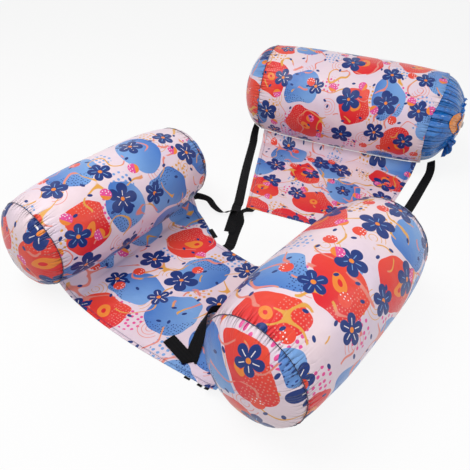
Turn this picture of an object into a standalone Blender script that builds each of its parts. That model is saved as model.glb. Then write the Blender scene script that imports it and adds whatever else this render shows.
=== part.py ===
"""Inflatable pool chair: a cloth seat between two bolster armrests, with a hinged bolster back.

Metres, +Z up, standing on the floor at z = 0. The origin is on the floor under the middle of the
seat. +Y runs from the seat's front edge to the back, and left and right are as seen from the front.
"""
import math
from dataclasses import dataclass

import bmesh
import bpy
from mathutils import Matrix, Vector

# Cloth, film and webbing
COVER_WALL = 0.001
PANEL_WALL = 0.002
FILM_WALL = 0.0008
PATCH_WALL = 0.0006
WEB_WALL = 0.0012
WEB_WIDTH = 0.030
SIDE_WEB_WIDTH = 0.020
SEAM_GAP = 0.0003
EDGE_GAP = 0.0008
RIM_GAP = 0.0008
FILM_GAP = 0.0006
FLOOR_FLAT = 0.0005
MERGE_REACH = 0.00001

# Bolsters: the crown is the fat middle, and the rings are the seams where the end discs join
CROWN_POWER = 3.5
BULGE_POWER = 1.22
ARM_RING_SPAN = 0.483
ARM_RING_SHARE = 0.853
ARM_BULGE = 0.052
ARM_SEAM_ANGLE = math.radians(30)
LEFT_ARM_RADIUS = 0.125
LEFT_ARM_X = -0.297
LEFT_ARM_Y = -0.003
LEFT_ARM_TURN = math.radians(-3.4)
RIGHT_ARM_RADIUS = 0.135
RIGHT_ARM_X = 0.309
RIGHT_ARM_Y = 0.006
RIGHT_ARM_TURN = math.radians(-7.8)
BACK_RADIUS = 0.166
BACK_RING_SPAN = 0.605
BACK_RING_SHARE = 0.94
BACK_BULGE = 0.090
BACK_SEAM_ANGLE = math.radians(35)
BACK_X = -0.0115
BACK_Y = 0.8955
BACK_TURN = math.radians(12.5 - 90)

# Seat panel
NOTCH_DEPTH = 0.123
NOTCH_FLAT_SHARE = 0.32
NOTCH_SKEW = 0.045
FRONT_REACH = 0.033
FRONT_CURVE = 2.6
BORDER_CURVE_SHARE = 1.5
BORDER_SPREAD_SHARE = 1.6
BORDER_PLAN_SHARE = 0.12
FOLD_SETBACK = 0.0025

# Back panel, measured from under the bolster's axis
PANEL_DROP = 0.5545
PANEL_FOOT_HALF = 0.192
PANEL_HEAD_HALF = 0.288
HINGE_CLEARANCE = 0.0003

# Valves and their plugs
VALVE_BORE = 0.0055
VALVE_TUBE = 0.0080
VALVE_FLANGE = 0.0140
VALVE_FLANGE_WALL = 0.0015
VALVE_DEPTH = 0.0180
PLUG_HEAD = 0.0100
PLUG_HEAD_WALL = 0.0030
PLUG_DEPTH = 0.0120
PLUG_TRAVEL = 0.0060
VALVE_ROOM = 0.0060
PATCH_RADIUS = 0.040

# Hook-and-loop closures on the armrests' rear discs
CLOSURE_LENGTH = 0.120
CLOSURE_WIDTH = 0.022
CLOSURE_DROP = 0.030

# Webbing harness
STRAP_SPACING = 0.035
STRAP_HEAD_REACH = 0.0338
STRAP_HEAD_ANGLE = math.radians(32)
STRAP_HEAD_INSET = 0.014
STRAP_HEAD_LEAN = math.radians(52)
STRAP_MIDWAY_LEAN = math.radians(29)
STRAP_LANDING = 0.075
STRAP_LEAD = 0.016
STRAP_RISE_SHARE = 0.55
LEFT_LINK_SHARE = 0.456
RIGHT_LINK_SHARE = 0.65
RIGHT_LINK_LAP = 0.042
LINK_LEAD = 0.024
STRAP_TAIL = 0.014
LEFT_GRIP_SHARE = 0.42
RIGHT_GRIP_SHARE = 0.62
LEFT_GRIP_OFFSET = 0.020
RIGHT_GRIP_OFFSET = 0.011
GRIP_LENGTH = 0.040
GRIP_WIDTH = 0.018
GRIP_WALL = 0.0008
SIDE_GAP = 0.0008
SIDE_LEAD = 0.0064
LEFT_SIDE_SHARES = ((0.2, 0.45, -0.02, 1.0), (0.45, 0.8, -0.11, 0.8), (0.72, 0.95, -0.15, 0.5))
RIGHT_SIDE_SHARES = ((0.14, 0.3, 0.11, 1.0), (0.5, 0.8, 0.09, 0.9), (0.8, 0.9, 0.04, 0.1))
LEFT_TAB_SHARE = 0.368
RIGHT_TAB_SHARE = 0.748
TAB_LENGTH = 0.040
TAB_WIDTH = 0.014
HEM_TAB_LENGTH = 0.014
HEM_TAB_WIDTH = 0.005
HEM_TAB_SHARES = (0.745, 0.822, 0.905)
FRONT_STRAP_SHARES = (
    (0.663, 0.464, 1.45),
    (0.620, 0.400, 1.35),
    (0.671, 0.185, 0.3),
    (0.714, 0.066, 0),
)
FOLD_ANGLE = math.radians(118)
FRONT_STRAP_TAIL = 0.077

# Fineness of the meshes
ROUND_STEPS = 32
SMALL_STEPS = 16
RING_SHARES = (-1, -0.75, -0.5, -0.25, 0, 0.25, 0.5, 0.75, 1)
BULGE_SHARES = (0.25, 0.5, 0.75, 1)
BORDER_COLUMNS = 4
FLAT_COLUMNS = 10
SEAT_COLUMNS = 2 * BORDER_COLUMNS + FLAT_COLUMNS
STRAP_ROWS = 14
SHORT_STRAP_ROWS = 12
CLOSURE_ROWS = 10
PANEL_COLUMNS = 10
PANEL_HEAD_ROWS = 4
PANEL_FLAT_ROWS = 8
PATCH_STEPS = 5

CLOTH = (0.86, 0.66, 0.72)
CLOTH_DARK = (0.16, 0.30, 0.62)
FILM = (0.05, 0.22, 0.60)
ORANGE = (0.87, 0.26, 0.03)
CLEAR = (0.80, 0.82, 0.84)
BLACK = (0.008, 0.008, 0.009)
CLOTH_ROUGHNESS = 0.5
FILM_ROUGHNESS = 0.25
PLASTIC_ROUGHNESS = 0.3
WEB_ROUGHNESS = 0.8
LOOP_ROUGHNESS = 0.9


@dataclass
class Bolster:
    """A round cushion on the floor. inward is the side of its axis that its cloth panel lies on."""

    radius: float
    ring_share: float
    ring_span: float
    bulge: float
    x: float
    y: float
    turn: float
    inward: int
    seam_angle: float

    @property
    def height(self):
        return self.radius - FLOOR_FLAT

    @property
    def ring_radius(self):
        return self.radius * self.ring_share

    def radius_at(self, share):
        swell = 1 - min(abs(share), 1) ** CROWN_POWER
        return self.ring_radius + (self.radius - self.ring_radius) * swell

    def place(self, axial, inward, height):
        """World point from the distance along the axis, towards the panel, and above the floor."""
        side = inward * self.inward
        x = self.x - axial * math.sin(self.turn) + side * math.cos(self.turn)
        y = self.y + axial * math.cos(self.turn) + side * math.sin(self.turn)
        return Vector((x, y, height))

    def on_rim(self, axial, reach, angle):
        """World point at a distance from the axis, at an angle from straight down to the panel."""
        return self.place(axial, reach * math.sin(angle), self.height - reach * math.cos(angle))

    def seam(self, axial, off=0.0):
        """World point of the panel's sewn edge beside the cover, or further off it."""
        reach = self.radius_at(2 * axial / self.ring_span) + EDGE_GAP + off
        return self.on_rim(axial, reach, self.seam_angle)


LEFT_ARM = Bolster(
    LEFT_ARM_RADIUS, ARM_RING_SHARE, ARM_RING_SPAN, ARM_BULGE,
    LEFT_ARM_X, LEFT_ARM_Y, LEFT_ARM_TURN, 1, ARM_SEAM_ANGLE,
)
RIGHT_ARM = Bolster(
    RIGHT_ARM_RADIUS, ARM_RING_SHARE, ARM_RING_SPAN, ARM_BULGE,
    RIGHT_ARM_X, RIGHT_ARM_Y, RIGHT_ARM_TURN, -1, ARM_SEAM_ANGLE,
)
BACK = Bolster(
    BACK_RADIUS, BACK_RING_SHARE, BACK_RING_SPAN, BACK_BULGE,
    BACK_X, BACK_Y, BACK_TURN, 1, BACK_SEAM_ANGLE,
)


def clear_scene():
    for item in list(bpy.data.objects):
        bpy.data.objects.remove(item, do_unlink=True)


def collection(name):
    made = bpy.data.collections.new(name)
    bpy.context.scene.collection.children.link(made)
    return made


def pivot(name, point):
    """An empty on a joint's axis, which its moving pieces hang from."""
    empty = bpy.data.objects.new(name, None)
    empty.location = point
    PARTS.objects.link(empty)
    return empty


def add_object(name, mesh, colour, roughness, parent=None, matrix=None):
    material = bpy.data.materials.new(name)
    material.use_nodes = True
    shader = material.node_tree.nodes["Principled BSDF"]
    shader.inputs["Base Color"].default_value = (*colour, 1)
    shader.inputs["Roughness"].default_value = roughness
    shader.inputs["Metallic"].default_value = 0
    mesh.materials.append(material)
    made = bpy.data.objects.new(name, mesh)
    PARTS.objects.link(made)
    if matrix is not None:
        made.matrix_world = matrix
    if parent is not None:
        made.parent = parent
        made.matrix_parent_inverse = Matrix.Translation(-parent.location)
    return made


def add_wall(item, wall, offset):
    solidify = item.modifiers.new("wall", "SOLIDIFY")
    solidify.thickness = wall
    solidify.offset = offset
    solidify.use_even_offset = True


def bolster_matrix(bolster, axial=0.0):
    """Local Z runs along the bolster's axis, from the given distance along it."""
    turned = Matrix.Rotation(bolster.turn, 4, "Z") @ Matrix.Rotation(math.radians(-90), 4, "X")
    return Matrix.Translation(bolster.place(axial, 0, bolster.height)) @ turned


def turned(name, outline, matrix, colour, roughness, parent=None, closed=False, steps=ROUND_STEPS):
    """Revolve an outline of (radius, height) points, which runs down its outer side."""
    points = [(radius, 0, height) for radius, height in outline]
    edges = [(i, i + 1) for i in range(len(points) - 1)]
    if closed:
        edges.append((len(points) - 1, 0))
    mesh = bpy.data.meshes.new(name)
    mesh.from_pydata(points, edges, [])
    made = add_object(name, mesh, colour, roughness, parent, matrix)
    screw = made.modifiers.new("turn", "SCREW")
    screw.axis = "Z"
    screw.steps = steps
    screw.render_steps = steps
    screw.use_merge_vertices = True
    screw.merge_threshold = MERGE_REACH
    screw.use_smooth_shade = True
    return made


def sheet(name, columns, rows, place, wall, colour, roughness, parent=None):
    """A thin sheet: place gives the world point for each share across and along it."""
    mesh = bpy.data.meshes.new(name)
    grid = bmesh.new()
    bmesh.ops.create_grid(grid, x_segments=len(columns) - 1, y_segments=len(rows) - 1, size=0.5)
    for vertex in grid.verts:
        column = round((vertex.co.x + 0.5) * (len(columns) - 1))
        row = round((vertex.co.y + 0.5) * (len(rows) - 1))
        vertex.co = place(columns[column], rows[row])
    grid.to_mesh(mesh)
    grid.free()
    made = add_object(name, mesh, colour, roughness, parent)
    add_wall(made, wall, 0)
    return made


def even_shares(count):
    return [i / count for i in range(count + 1)]


def rest_on_floor(item):
    """Cut off what bulges below the floor, which leaves a flat to rest on."""
    cut = item.modifiers.new("flat", "BOOLEAN")
    cut.operation = "DIFFERENCE"
    cut.solver = "EXACT"
    cut.object = FLOOR_CUTTER


def floor_cutter():
    size = 2 * (BACK_Y + BACK_RING_SPAN)
    bpy.ops.mesh.primitive_cube_add(size=size, location=(0, 0, -size / 2))
    cutter = bpy.context.object
    cutter.name = "floor_cutter"
    cutter.hide_render = True
    cutter.display_type = "WIRE"
    for holder in list(cutter.users_collection):
        holder.objects.unlink(cutter)
    CUTTERS.objects.link(cutter)
    return cutter


def bulge_point(radius, bulge, share):
    """(radius, height) of a blown-out end, from its ring at share 0 to its pole at share 1."""
    angle = share * math.pi / 2
    reach = max(radius * math.cos(angle), 0)
    return (reach if share < 1 else 0, bulge * math.sin(angle) ** BULGE_POWER)


def bulge_height(radius, bulge, reach):
    """Height of a blown-out end at a distance from its axis."""
    share = math.acos(min(reach / radius, 1)) / (math.pi / 2)
    return bulge_point(radius, bulge, share)[1]


def cover(name, bolster, parent):
    """The sewn cloth tube of a bolster, from ring to ring."""
    half = bolster.ring_span / 2
    outline = [(bolster.radius_at(share), share * half) for share in reversed(RING_SHARES)]
    made = turned(name, outline, bolster_matrix(bolster), CLOTH, CLOTH_ROUGHNESS, parent)
    add_wall(made, COVER_WALL, -1)
    rest_on_floor(made)


def end_disc(name, bolster, end, parent):
    """The round cloth end of a bolster, which bulges out from the ring seam."""
    radius = bolster.ring_radius
    outline = [bulge_point(radius, bolster.bulge, share) for share in (*reversed(BULGE_SHARES), 0)]
    matrix = bolster_matrix(bolster, end * (bolster.ring_span / 2 + RIM_GAP))
    if end < 0:
        matrix = matrix @ Matrix.Rotation(math.radians(180), 4, "X")
    made = turned(name, outline, matrix, CLOTH_DARK, CLOTH_ROUGHNESS, parent)
    add_wall(made, COVER_WALL, -1)


def film_inset():
    return COVER_WALL + FILM_GAP


def hidden_bulge(bolster):
    """Bulge of a bladder's end that leaves room under the cloth disc for the valve and plug."""
    stack = VALVE_FLANGE_WALL + PLUG_HEAD_WALL + PLUG_TRAVEL + VALVE_ROOM
    return bolster.bulge - COVER_WALL - stack


def bladder(name, bolster, valve_bulge, blind_bulge, parent):
    """The welded film tube that holds the air, open only at the bore for its valve."""
    inset = film_inset()
    radius = bolster.ring_radius - inset
    half = bolster.ring_span / 2 - inset
    hole = VALVE_TUBE + SEAM_GAP
    valve_end = [(hole, valve_bulge)]
    valve_end += [bulge_point(radius, valve_bulge, share) for share in reversed(BULGE_SHARES[:-1])]
    outline = [(reach, half + height) for reach, height in valve_end]
    outline += [
        (bolster.radius_at(share) - inset, share * half) for share in reversed(RING_SHARES)
    ]
    blind_end = [bulge_point(radius, blind_bulge, share) for share in BULGE_SHARES]
    outline += [(reach, -half - height) for reach, height in blind_end]
    made = turned(name, outline, bolster_matrix(bolster), FILM, FILM_ROUGHNESS, parent)
    add_wall(made, FILM_WALL, -1)
    return half + valve_bulge


def valve(name, bolster, seat_axial, parent):
    """A flanged tube through the film. Its outline runs down the outside and up the bore."""
    outline = [
        (VALVE_BORE, VALVE_FLANGE_WALL),
        (VALVE_FLANGE, VALVE_FLANGE_WALL),
        (VALVE_FLANGE, 0),
        (VALVE_TUBE, 0),
        (VALVE_TUBE, -VALVE_DEPTH),
        (VALVE_BORE, -VALVE_DEPTH),
    ]
    matrix = bolster_matrix(bolster, seat_axial + SEAM_GAP)
    turned(
        name, outline, matrix, CLEAR, PLASTIC_ROUGHNESS, parent, closed=True, steps=SMALL_STEPS
    )


def valve_plug(name, bolster, seat_axial):
    """The push-in plug, which slides straight out of the valve's bore."""
    stem = VALVE_BORE - SEAM_GAP
    outline = [
        (0, PLUG_HEAD_WALL),
        (PLUG_HEAD, PLUG_HEAD_WALL),
        (PLUG_HEAD, 0),
        (stem, 0),
        (stem, -PLUG_DEPTH),
        (0, -PLUG_DEPTH),
    ]
    seat = seat_axial + 2 * SEAM_GAP + VALVE_FLANGE_WALL
    holder = pivot(name + "_slide", bolster.place(seat, 0, bolster.height))
    matrix = bolster_matrix(bolster, seat)
    turned(name, outline, matrix, CLEAR, PLASTIC_ROUGHNESS, holder, steps=SMALL_STEPS)


def closure(name, bolster, parent):
    """A hook-and-loop strip over the slit that the bladder goes in by, low on the rear disc."""
    radius = bolster.ring_radius
    lift = SEAM_GAP + WEB_WALL / 2
    base = bolster.ring_span / 2 + RIM_GAP

    def place(across, along):
        side = (along - 0.5) * CLOSURE_LENGTH
        drop = CLOSURE_DROP + (across - 0.5) * CLOSURE_WIDTH
        height = bulge_height(radius, bolster.bulge, math.hypot(side, drop))
        slope_lift = lift / math.cos(math.atan(math.hypot(side, drop) / radius))
        return bolster.place(base + height + slope_lift, side, bolster.height - drop)

    rows = even_shares(CLOSURE_ROWS)
    sheet(name, even_shares(2), rows, place, WEB_WALL, BLACK, WEB_ROUGHNESS, parent)


def armrest(side, bolster):
    """One armrest, which folds about the seam that joins its cover to the seat panel."""
    hinge = pivot(side + "_armrest_hinge", fold_axis(bolster))
    cover(side + "_armrest_cover", bolster, hinge)
    end_disc(side + "_armrest_front_disc", bolster, -1, hinge)
    end_disc(side + "_armrest_rear_disc", bolster, 1, hinge)
    bulge = hidden_bulge(bolster)
    seat = bladder(side + "_armrest_bladder", bolster, bulge, bulge, hinge)
    valve(side + "_armrest_valve", bolster, seat, hinge)
    valve_plug(side + "_armrest_valve_plug", bolster, seat)
    closure(side + "_armrest_closure", bolster, hinge)


def fold_axis(bolster):
    """Middle of the line that an armrest folds about, just inside the panel's edge."""
    return bolster.seam(0, FOLD_SETBACK - EDGE_GAP)


def border_point(bolster, axial, climb):
    """Point on the seat's turned-up border: climb 0 is its foot on the floor, 1 is its seam."""
    seam = bolster.seam(axial)
    rise = seam.z - PANEL_WALL / 2
    spread = rise * BORDER_SPREAD_SHARE
    foot = seam + bolster.place(0, spread, 0) - bolster.place(0, 0, 0)
    point = foot.lerp(seam, climb)
    point.z = PANEL_WALL / 2 + rise * climb ** BORDER_CURVE_SHARE
    return point


def seat_point(across, along):
    """Point of the seat's middle surface, with shares from left to right and front to rear."""
    column = across * SEAT_COLUMNS
    flat = min(max((column - BORDER_COLUMNS) / FLAT_COLUMNS, 0), 1)
    left_climb = max(1 - column / BORDER_COLUMNS, 0)
    right_climb = max(1 - (SEAT_COLUMNS - column) / BORDER_COLUMNS, 0)
    plan = abs(flat - 0.5) + BORDER_PLAN_SHARE * max(left_climb, right_climb)
    flat_half = NOTCH_FLAT_SHARE / 2
    slant = max((plan - flat_half) / (0.5 + BORDER_PLAN_SHARE - flat_half), 0)
    depth = NOTCH_DEPTH + NOTCH_SKEW * (flat - 0.5)
    rear_reach = 1 - (1 - slant) * depth / ARM_RING_SPAN
    front_reach = FRONT_REACH * (1 - (1 - flat) ** FRONT_CURVE)
    front_reach *= (1 - along) ** 2
    axial = (along * rear_reach - 0.5) * ARM_RING_SPAN - front_reach
    left = border_point(LEFT_ARM, axial, left_climb)
    right = border_point(RIGHT_ARM, axial, right_climb)
    return left.lerp(right, flat)


def seat_panel():
    rows = [(share + 1) / 2 for share in RING_SHARES]
    columns = even_shares(SEAT_COLUMNS)
    sheet("seat_panel", columns, rows, seat_point, PANEL_WALL, CLOTH, CLOTH_ROUGHNESS)


def panel_half(drop):
    """Half width of the back panel at a distance in front of the bolster's axis."""
    head = (BACK.radius + EDGE_GAP) * math.sin(BACK_SEAM_ANGLE)
    share = (drop - head) / (PANEL_DROP - head)
    return PANEL_HEAD_HALF + (PANEL_FOOT_HALF - PANEL_HEAD_HALF) * share


def back_panel(parent):
    """The cloth back: flat on the floor, with its head turned up to the bolster's seam."""
    rows = PANEL_HEAD_ROWS + PANEL_FLAT_ROWS

    def place(across, along):
        row = round(along * rows)
        axial = (2 * across - 1) * PANEL_HEAD_HALF
        seam = BACK.seam(axial)
        rise = seam.z - PANEL_WALL / 2
        foot_drop = (BACK.radius + EDGE_GAP) * math.sin(BACK_SEAM_ANGLE) + rise
        if row >= PANEL_FLAT_ROWS:
            climb = (row - PANEL_FLAT_ROWS) / PANEL_HEAD_ROWS
            foot = BACK.place((2 * across - 1) * panel_half(foot_drop), foot_drop, 0)
            point = foot.lerp(seam, climb)
            point.z = PANEL_WALL / 2 + rise * climb ** BORDER_CURVE_SHARE
            return point
        lower_edge = PANEL_DROP - HINGE_CLEARANCE
        drop = lower_edge + (foot_drop - lower_edge) * row / PANEL_FLAT_ROWS
        return BACK.place((2 * across - 1) * panel_half(drop), drop, PANEL_WALL / 2)

    columns = even_shares(PANEL_COLUMNS)
    shares = even_shares(rows)
    sheet("back_panel", columns, shares, place, PANEL_WALL, CLOTH, CLOTH_ROUGHNESS, parent)


def end_patch(parent):
    """The round patch welded on the film end that the open sleeve leaves bare."""
    lift = SEAM_GAP + PATCH_WALL
    radius = BACK.ring_radius - film_inset() + lift
    bulge = BACK.bulge + lift
    base = BACK.ring_span / 2 - film_inset()
    hole = VALVE_TUBE + SEAM_GAP
    outline = []
    for share in even_shares(PATCH_STEPS):
        reach = hole + (PATCH_RADIUS - hole) * share
        outline.append((reach, bulge_height(radius, bulge, reach)))
    matrix = bolster_matrix(BACK, base)
    made = turned("back_end_patch", outline, matrix, ORANGE, PLASTIC_ROUGHNESS, parent)
    add_wall(made, PATCH_WALL, -1)


def smooth_route(stations, share):
    """Point and direction at a share of the way on a curve through stations of (x, y, z, lean)."""
    gaps = [(b - a).to_3d().length for a, b in zip(stations, stations[1:])]
    left = share * sum(gaps)
    start = 0
    while start < len(gaps) - 1 and left > gaps[start]:
        left -= gaps[start]
        start += 1
    span = gaps[start]
    t = min(left / span, 1)
    here, there = stations[start], stations[start + 1]
    leave = arrive = there - here
    if start > 0:
        leave = (there - stations[start - 1]) * span / (span + gaps[start - 1])
    if start < len(gaps) - 1:
        arrive = (stations[start + 2] - here) * span / (span + gaps[start + 1])
    bend = 3 * (there - here) - 2 * leave - arrive
    turn = leave + arrive - 2 * (there - here)
    point = here + leave * t + bend * t * t + turn * t * t * t
    run = (leave + 2 * bend * t + 3 * turn * t * t).to_3d().normalized()
    return point, run


def band_side(run, lean):
    """Direction across a band: level, or turned about the band's run by its lean."""
    level = run.cross(Vector((0, 0, 1))).normalized()
    return Matrix.Rotation(lean, 3, run) @ level


def strap(name, stations, width, parent=None, rows=STRAP_ROWS):
    """A woven band along its stations, never below the floor. A lean of 0 lies flat."""
    stations = [Vector(station) for station in stations]

    def place(across, along):
        here, run = smooth_route(stations, along)
        point = here.to_3d() + band_side(run, here.w) * (across - 0.5) * width
        point.z = max(point.z, floor_level(0))
        return point

    shares = even_shares(rows)
    sheet(name, even_shares(1), shares, place, WEB_WALL, BLACK, WEB_ROUGHNESS, parent)


def floor_level(layer):
    """Middle height of a band on the floor, or of one laid over another."""
    return SEAM_GAP + WEB_WALL / 2 + layer * (WEB_WALL + GRIP_WALL + 2 * SEAM_GAP)


def back_floor(axial, drop, layer=0, lean=0.0):
    """A station on the floor in front of the back bolster's axis."""
    return (*BACK.place(axial, drop, floor_level(layer)), lean)


def recline_strap(side, sign, parent):
    """From the back bolster's end, down to the floor and forward to the panel's hinge line."""
    foot = sign * (PANEL_FOOT_HALF + STRAP_SPACING)
    sunk = film_inset() if sign > 0 else 0
    head_axial = sign * (BACK_RING_SPAN / 2 + STRAP_HEAD_REACH - sunk)
    reach = BACK.ring_radius - STRAP_HEAD_INSET
    head = BACK.on_rim(head_axial, reach, STRAP_HEAD_ANGLE)
    landing = head_drop() + STRAP_LANDING
    spread = (abs(head_axial) - abs(foot)) / (PANEL_DROP - head_drop())

    def axial(drop):
        return foot + sign * spread * (PANEL_DROP - drop)

    middle = (landing + PANEL_DROP) / 2
    halfway = head.lerp(Vector(back_floor(axial(landing), landing)[:3]), 0.5)
    stations = [
        (*head, sign * STRAP_HEAD_LEAN),
        (*halfway, sign * STRAP_MIDWAY_LEAN),
        back_floor(axial(landing), landing),
        back_floor(axial(middle), middle),
        back_floor(foot, PANEL_DROP - STRAP_LEAD),
        back_floor(foot, PANEL_DROP - HINGE_CLEARANCE),
    ]
    strap(side + "_recline_strap", stations, WEB_WIDTH, parent)


def head_drop():
    return (BACK.ring_radius - STRAP_HEAD_INSET) * math.sin(STRAP_HEAD_ANGLE)


def rear_edge(across, off, width):
    """Point off the middle of a stretch of the seat's rear edge, and the direction away from it."""
    edge = [seat_point(column / SEAT_COLUMNS, 1).to_2d() for column in range(SEAT_COLUMNS + 1)]
    half = width / 2 / (edge[-1] - edge[0]).length * SEAT_COLUMNS
    ends = (across * SEAT_COLUMNS - half, across * SEAT_COLUMNS + half)
    left, right = (edge[int(end)].lerp(edge[int(end) + 1], end % 1) for end in ends)
    run = (right - left).normalized()
    away = Vector((-run.y, run.x))
    between = edge[math.ceil(ends[0]):math.ceil(ends[1])]
    clear = max([0] + [(corner - left).dot(away) for corner in between])
    return left.lerp(right, 0.5) + away * (clear + off), away


def link_strap(side, sign, across, lap):
    """From the seat's rear edge, or lapped on it, to the back panel's lower corner."""
    start, away = rear_edge(across, SEAM_GAP, WEB_WIDTH)
    corner = sign * (PANEL_FOOT_HALF - WEB_WIDTH / 2)
    lead = BACK.place(corner, PANEL_DROP + LINK_LEAD, 0).to_2d()
    stop = BACK.place(corner, PANEL_DROP + HINGE_CLEARANCE, 0).to_2d()
    low = floor_level(0)
    high = low + PANEL_WALL
    if lap:
        towards = (lead - start).normalized()
        route = [(start - towards * lap, high), (start + towards * lap, high)]
        route.append((start + towards * (lap + LINK_LEAD), low))
    else:
        route = [(start, low), (start + away * LINK_LEAD, low)]
    route += [(lead, low), (stop, low)]
    stations = [Vector((*point, level, 0)) for point, level in route]
    strap(side + "_link_strap", stations, WEB_WIDTH, rows=SHORT_STRAP_ROWS)
    return stations


def strap_end(side, sign, link, grip_share, offset):
    """The recline strap's loose end, past the hinge line and beside the link strap it grips."""
    foot = sign * (PANEL_FOOT_HALF + STRAP_SPACING)
    start = Vector(back_floor(foot, PANEL_DROP + HINGE_CLEARANCE))
    lead = Vector(back_floor(foot, PANEL_DROP + 2 * STRAP_LEAD))
    middle, run = smooth_route(link, grip_share)
    run = run.to_2d().normalized()
    outward = Vector((-run.y, run.x)) * -sign
    over = middle.copy()
    over.xy = middle.to_2d() + outward * offset
    over.z = floor_level(1)
    first = start.lerp(over, STRAP_RISE_SHARE)
    first.z = floor_level(1)
    end = over.copy()
    end.xy = over.to_2d() + (over - start).to_2d().normalized() * STRAP_TAIL
    stations = [start, lead, first, over, end]
    strap(side + "_strap_end", stations, WEB_WIDTH, rows=SHORT_STRAP_ROWS)
    grip_patch(side, middle.to_2d() + outward * offset / 2, run)
    return start.lerp(lead, 0.5), first.lerp(over, 0.5)


def grip_patch(side, centre, run):
    """The hook-and-loop patch that the strap's end holds to the link strap by."""
    level = SEAM_GAP + WEB_WALL + SEAM_GAP + GRIP_WALL / 2

    def place(across, along):
        point = centre + run * (along - 0.5) * GRIP_LENGTH
        point += Vector((run.y, -run.x)) * (across - 0.5) * GRIP_WIDTH
        return Vector((point.x, point.y, level))

    name = side + "_grip_patch"
    sheet(name, even_shares(1), even_shares(2), place, GRIP_WALL, BLACK, LOOP_ROUGHNESS)


def side_strap(side, across, bolster, stop, layer, route):
    """From the seat's rear corner, down to where it is sewn on the strap's end."""
    inner, outer = seat_point(across, 1), seat_point(round(across), 1)
    edge = (inner - outer).normalized()
    axis = bolster.place(1, 0, 0) - bolster.place(0, 0, 0)
    last_row = (1 + RING_SHARES[-2]) / 2
    surface = outer.lerp(inner, 0.5) - seat_point(round(across), last_row).lerp(
        seat_point(across, last_row), 0.5
    )
    away = (surface - edge * surface.dot(edge)).normalized()
    level = away.cross(Vector((0, 0, 1))).normalized()
    lean = level.angle(edge * bolster.inward) * bolster.inward
    start = outer.lerp(inner, 0.5) + away * SIDE_GAP
    stop = Vector((*stop.to_2d(), floor_level(layer)))
    stations = [Vector((*start, lean)), Vector((*(start + away * SIDE_LEAD), lean))]
    length = (stop - start).length
    for share, drop, ahead, turn in route:
        point = start.lerp(stop, share) + axis * ahead * length
        point.z = stop.z + (start.z - stop.z) * (1 - drop)
        stations.append(Vector((*point, lean * turn)))
    stations.append(Vector((*stop, 0)))
    strap(side + "_side_strap", stations, SIDE_WEB_WIDTH, rows=SHORT_STRAP_ROWS)


def rear_tab(side, across):
    """A stub of webbing sewn flat on the seat, half of it past the rear edge."""
    edge, away = rear_edge(across, 0, TAB_LENGTH)
    level = PANEL_WALL + SEAM_GAP + WEB_WALL / 2

    def place(over, along):
        point = edge + Vector((away.y, -away.x)) * (along - 0.5) * TAB_LENGTH
        point += away * (over - 0.5) * TAB_WIDTH
        return Vector((point.x, point.y, level))

    name = side + "_rear_tab"
    sheet(name, even_shares(1), even_shares(2), place, WEB_WALL, BLACK, WEB_ROUGHNESS)


def hem_tabs():
    """Stubs of webbing that just show in front of the seat's hem."""
    half = HEM_TAB_LENGTH / 2
    step = 1 / SEAT_COLUMNS / 4
    for number, across in enumerate(HEM_TAB_SHARES):
        here = seat_point(across, 0)
        run = (seat_point(across + step, 0) - seat_point(across - step, 0)).normalized()
        out = run.cross(Vector((0, 0, 1))).normalized()

        def place(over, along, here=here, run=run, out=out):
            side = run * (along * 2 - 1) * half
            return here + side + out * (SEAM_GAP + over * HEM_TAB_WIDTH)

        name = "hem_tab_" + str(number + 1)
        sheet(name, even_shares(1), even_shares(2), place, WEB_WALL, BLACK, WEB_ROUGHNESS)


def front_strap():
    """A webbing tie from beside the right armrest. It lies on the seat, folded once near its end."""
    stations = []
    for across, along, lean in FRONT_STRAP_SHARES:
        station = seat_point(across, along)
        stations.append(Vector((station.x, station.y, 0, lean)))
    base = PANEL_WALL + SEAM_GAP + WEB_WALL / 2
    pairs = []
    for share in even_shares(SHORT_STRAP_ROWS)[:-1]:
        here, run = smooth_route(stations, share)
        middle = here.to_3d()
        middle.z = base + math.sin(abs(here.w)) * WEB_WIDTH / 2
        side = band_side(run, here.w) * WEB_WIDTH / 2
        pairs.append((middle - side, middle + side))
    pairs += folded_end(stations, base)

    def place(across, along):
        low, high = pairs[round(along * (len(pairs) - 1))]
        return low.lerp(high, across)

    shares = even_shares(len(pairs) - 1)
    sheet("front_strap", even_shares(1), shares, place, WEB_WALL, BLACK, WEB_ROUGHNESS)


def folded_end(stations, base):
    """Edge points of the band from its crease on, where it turns over and lies on itself."""
    fold, run = smooth_route(stations, 1)
    fold = fold.to_3d()
    fold.z = base
    level = band_side(run, 0)
    crease = Matrix.Rotation(FOLD_ANGLE, 3, "Z") @ run
    crease *= math.copysign(1, crease.dot(level))
    half_crease = WEB_WIDTH / 2 / crease.dot(level)
    bend_out = run - crease * crease.dot(run)
    bend_out.normalize()
    layer = WEB_WALL + 2 * SEAM_GAP
    pairs = []
    for share in (0, 0.5, 1):
        middle = fold + bend_out * layer * math.sin(share * math.pi) / 2
        middle.z += layer * share
        pairs.append((middle - crease * half_crease, middle + crease * half_crease))
    back = 2 * crease * crease.dot(run) - run
    side = (2 * crease * crease.dot(level) - level) * WEB_WIDTH / 2
    skew = half_crease * abs(crease.dot(run)) + layer
    for reach in (skew, (skew + FRONT_STRAP_TAIL) / 2, FRONT_STRAP_TAIL):
        middle = fold + back * reach
        middle.z += layer
        pairs.append((middle - side, middle + side))
    return pairs


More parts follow.
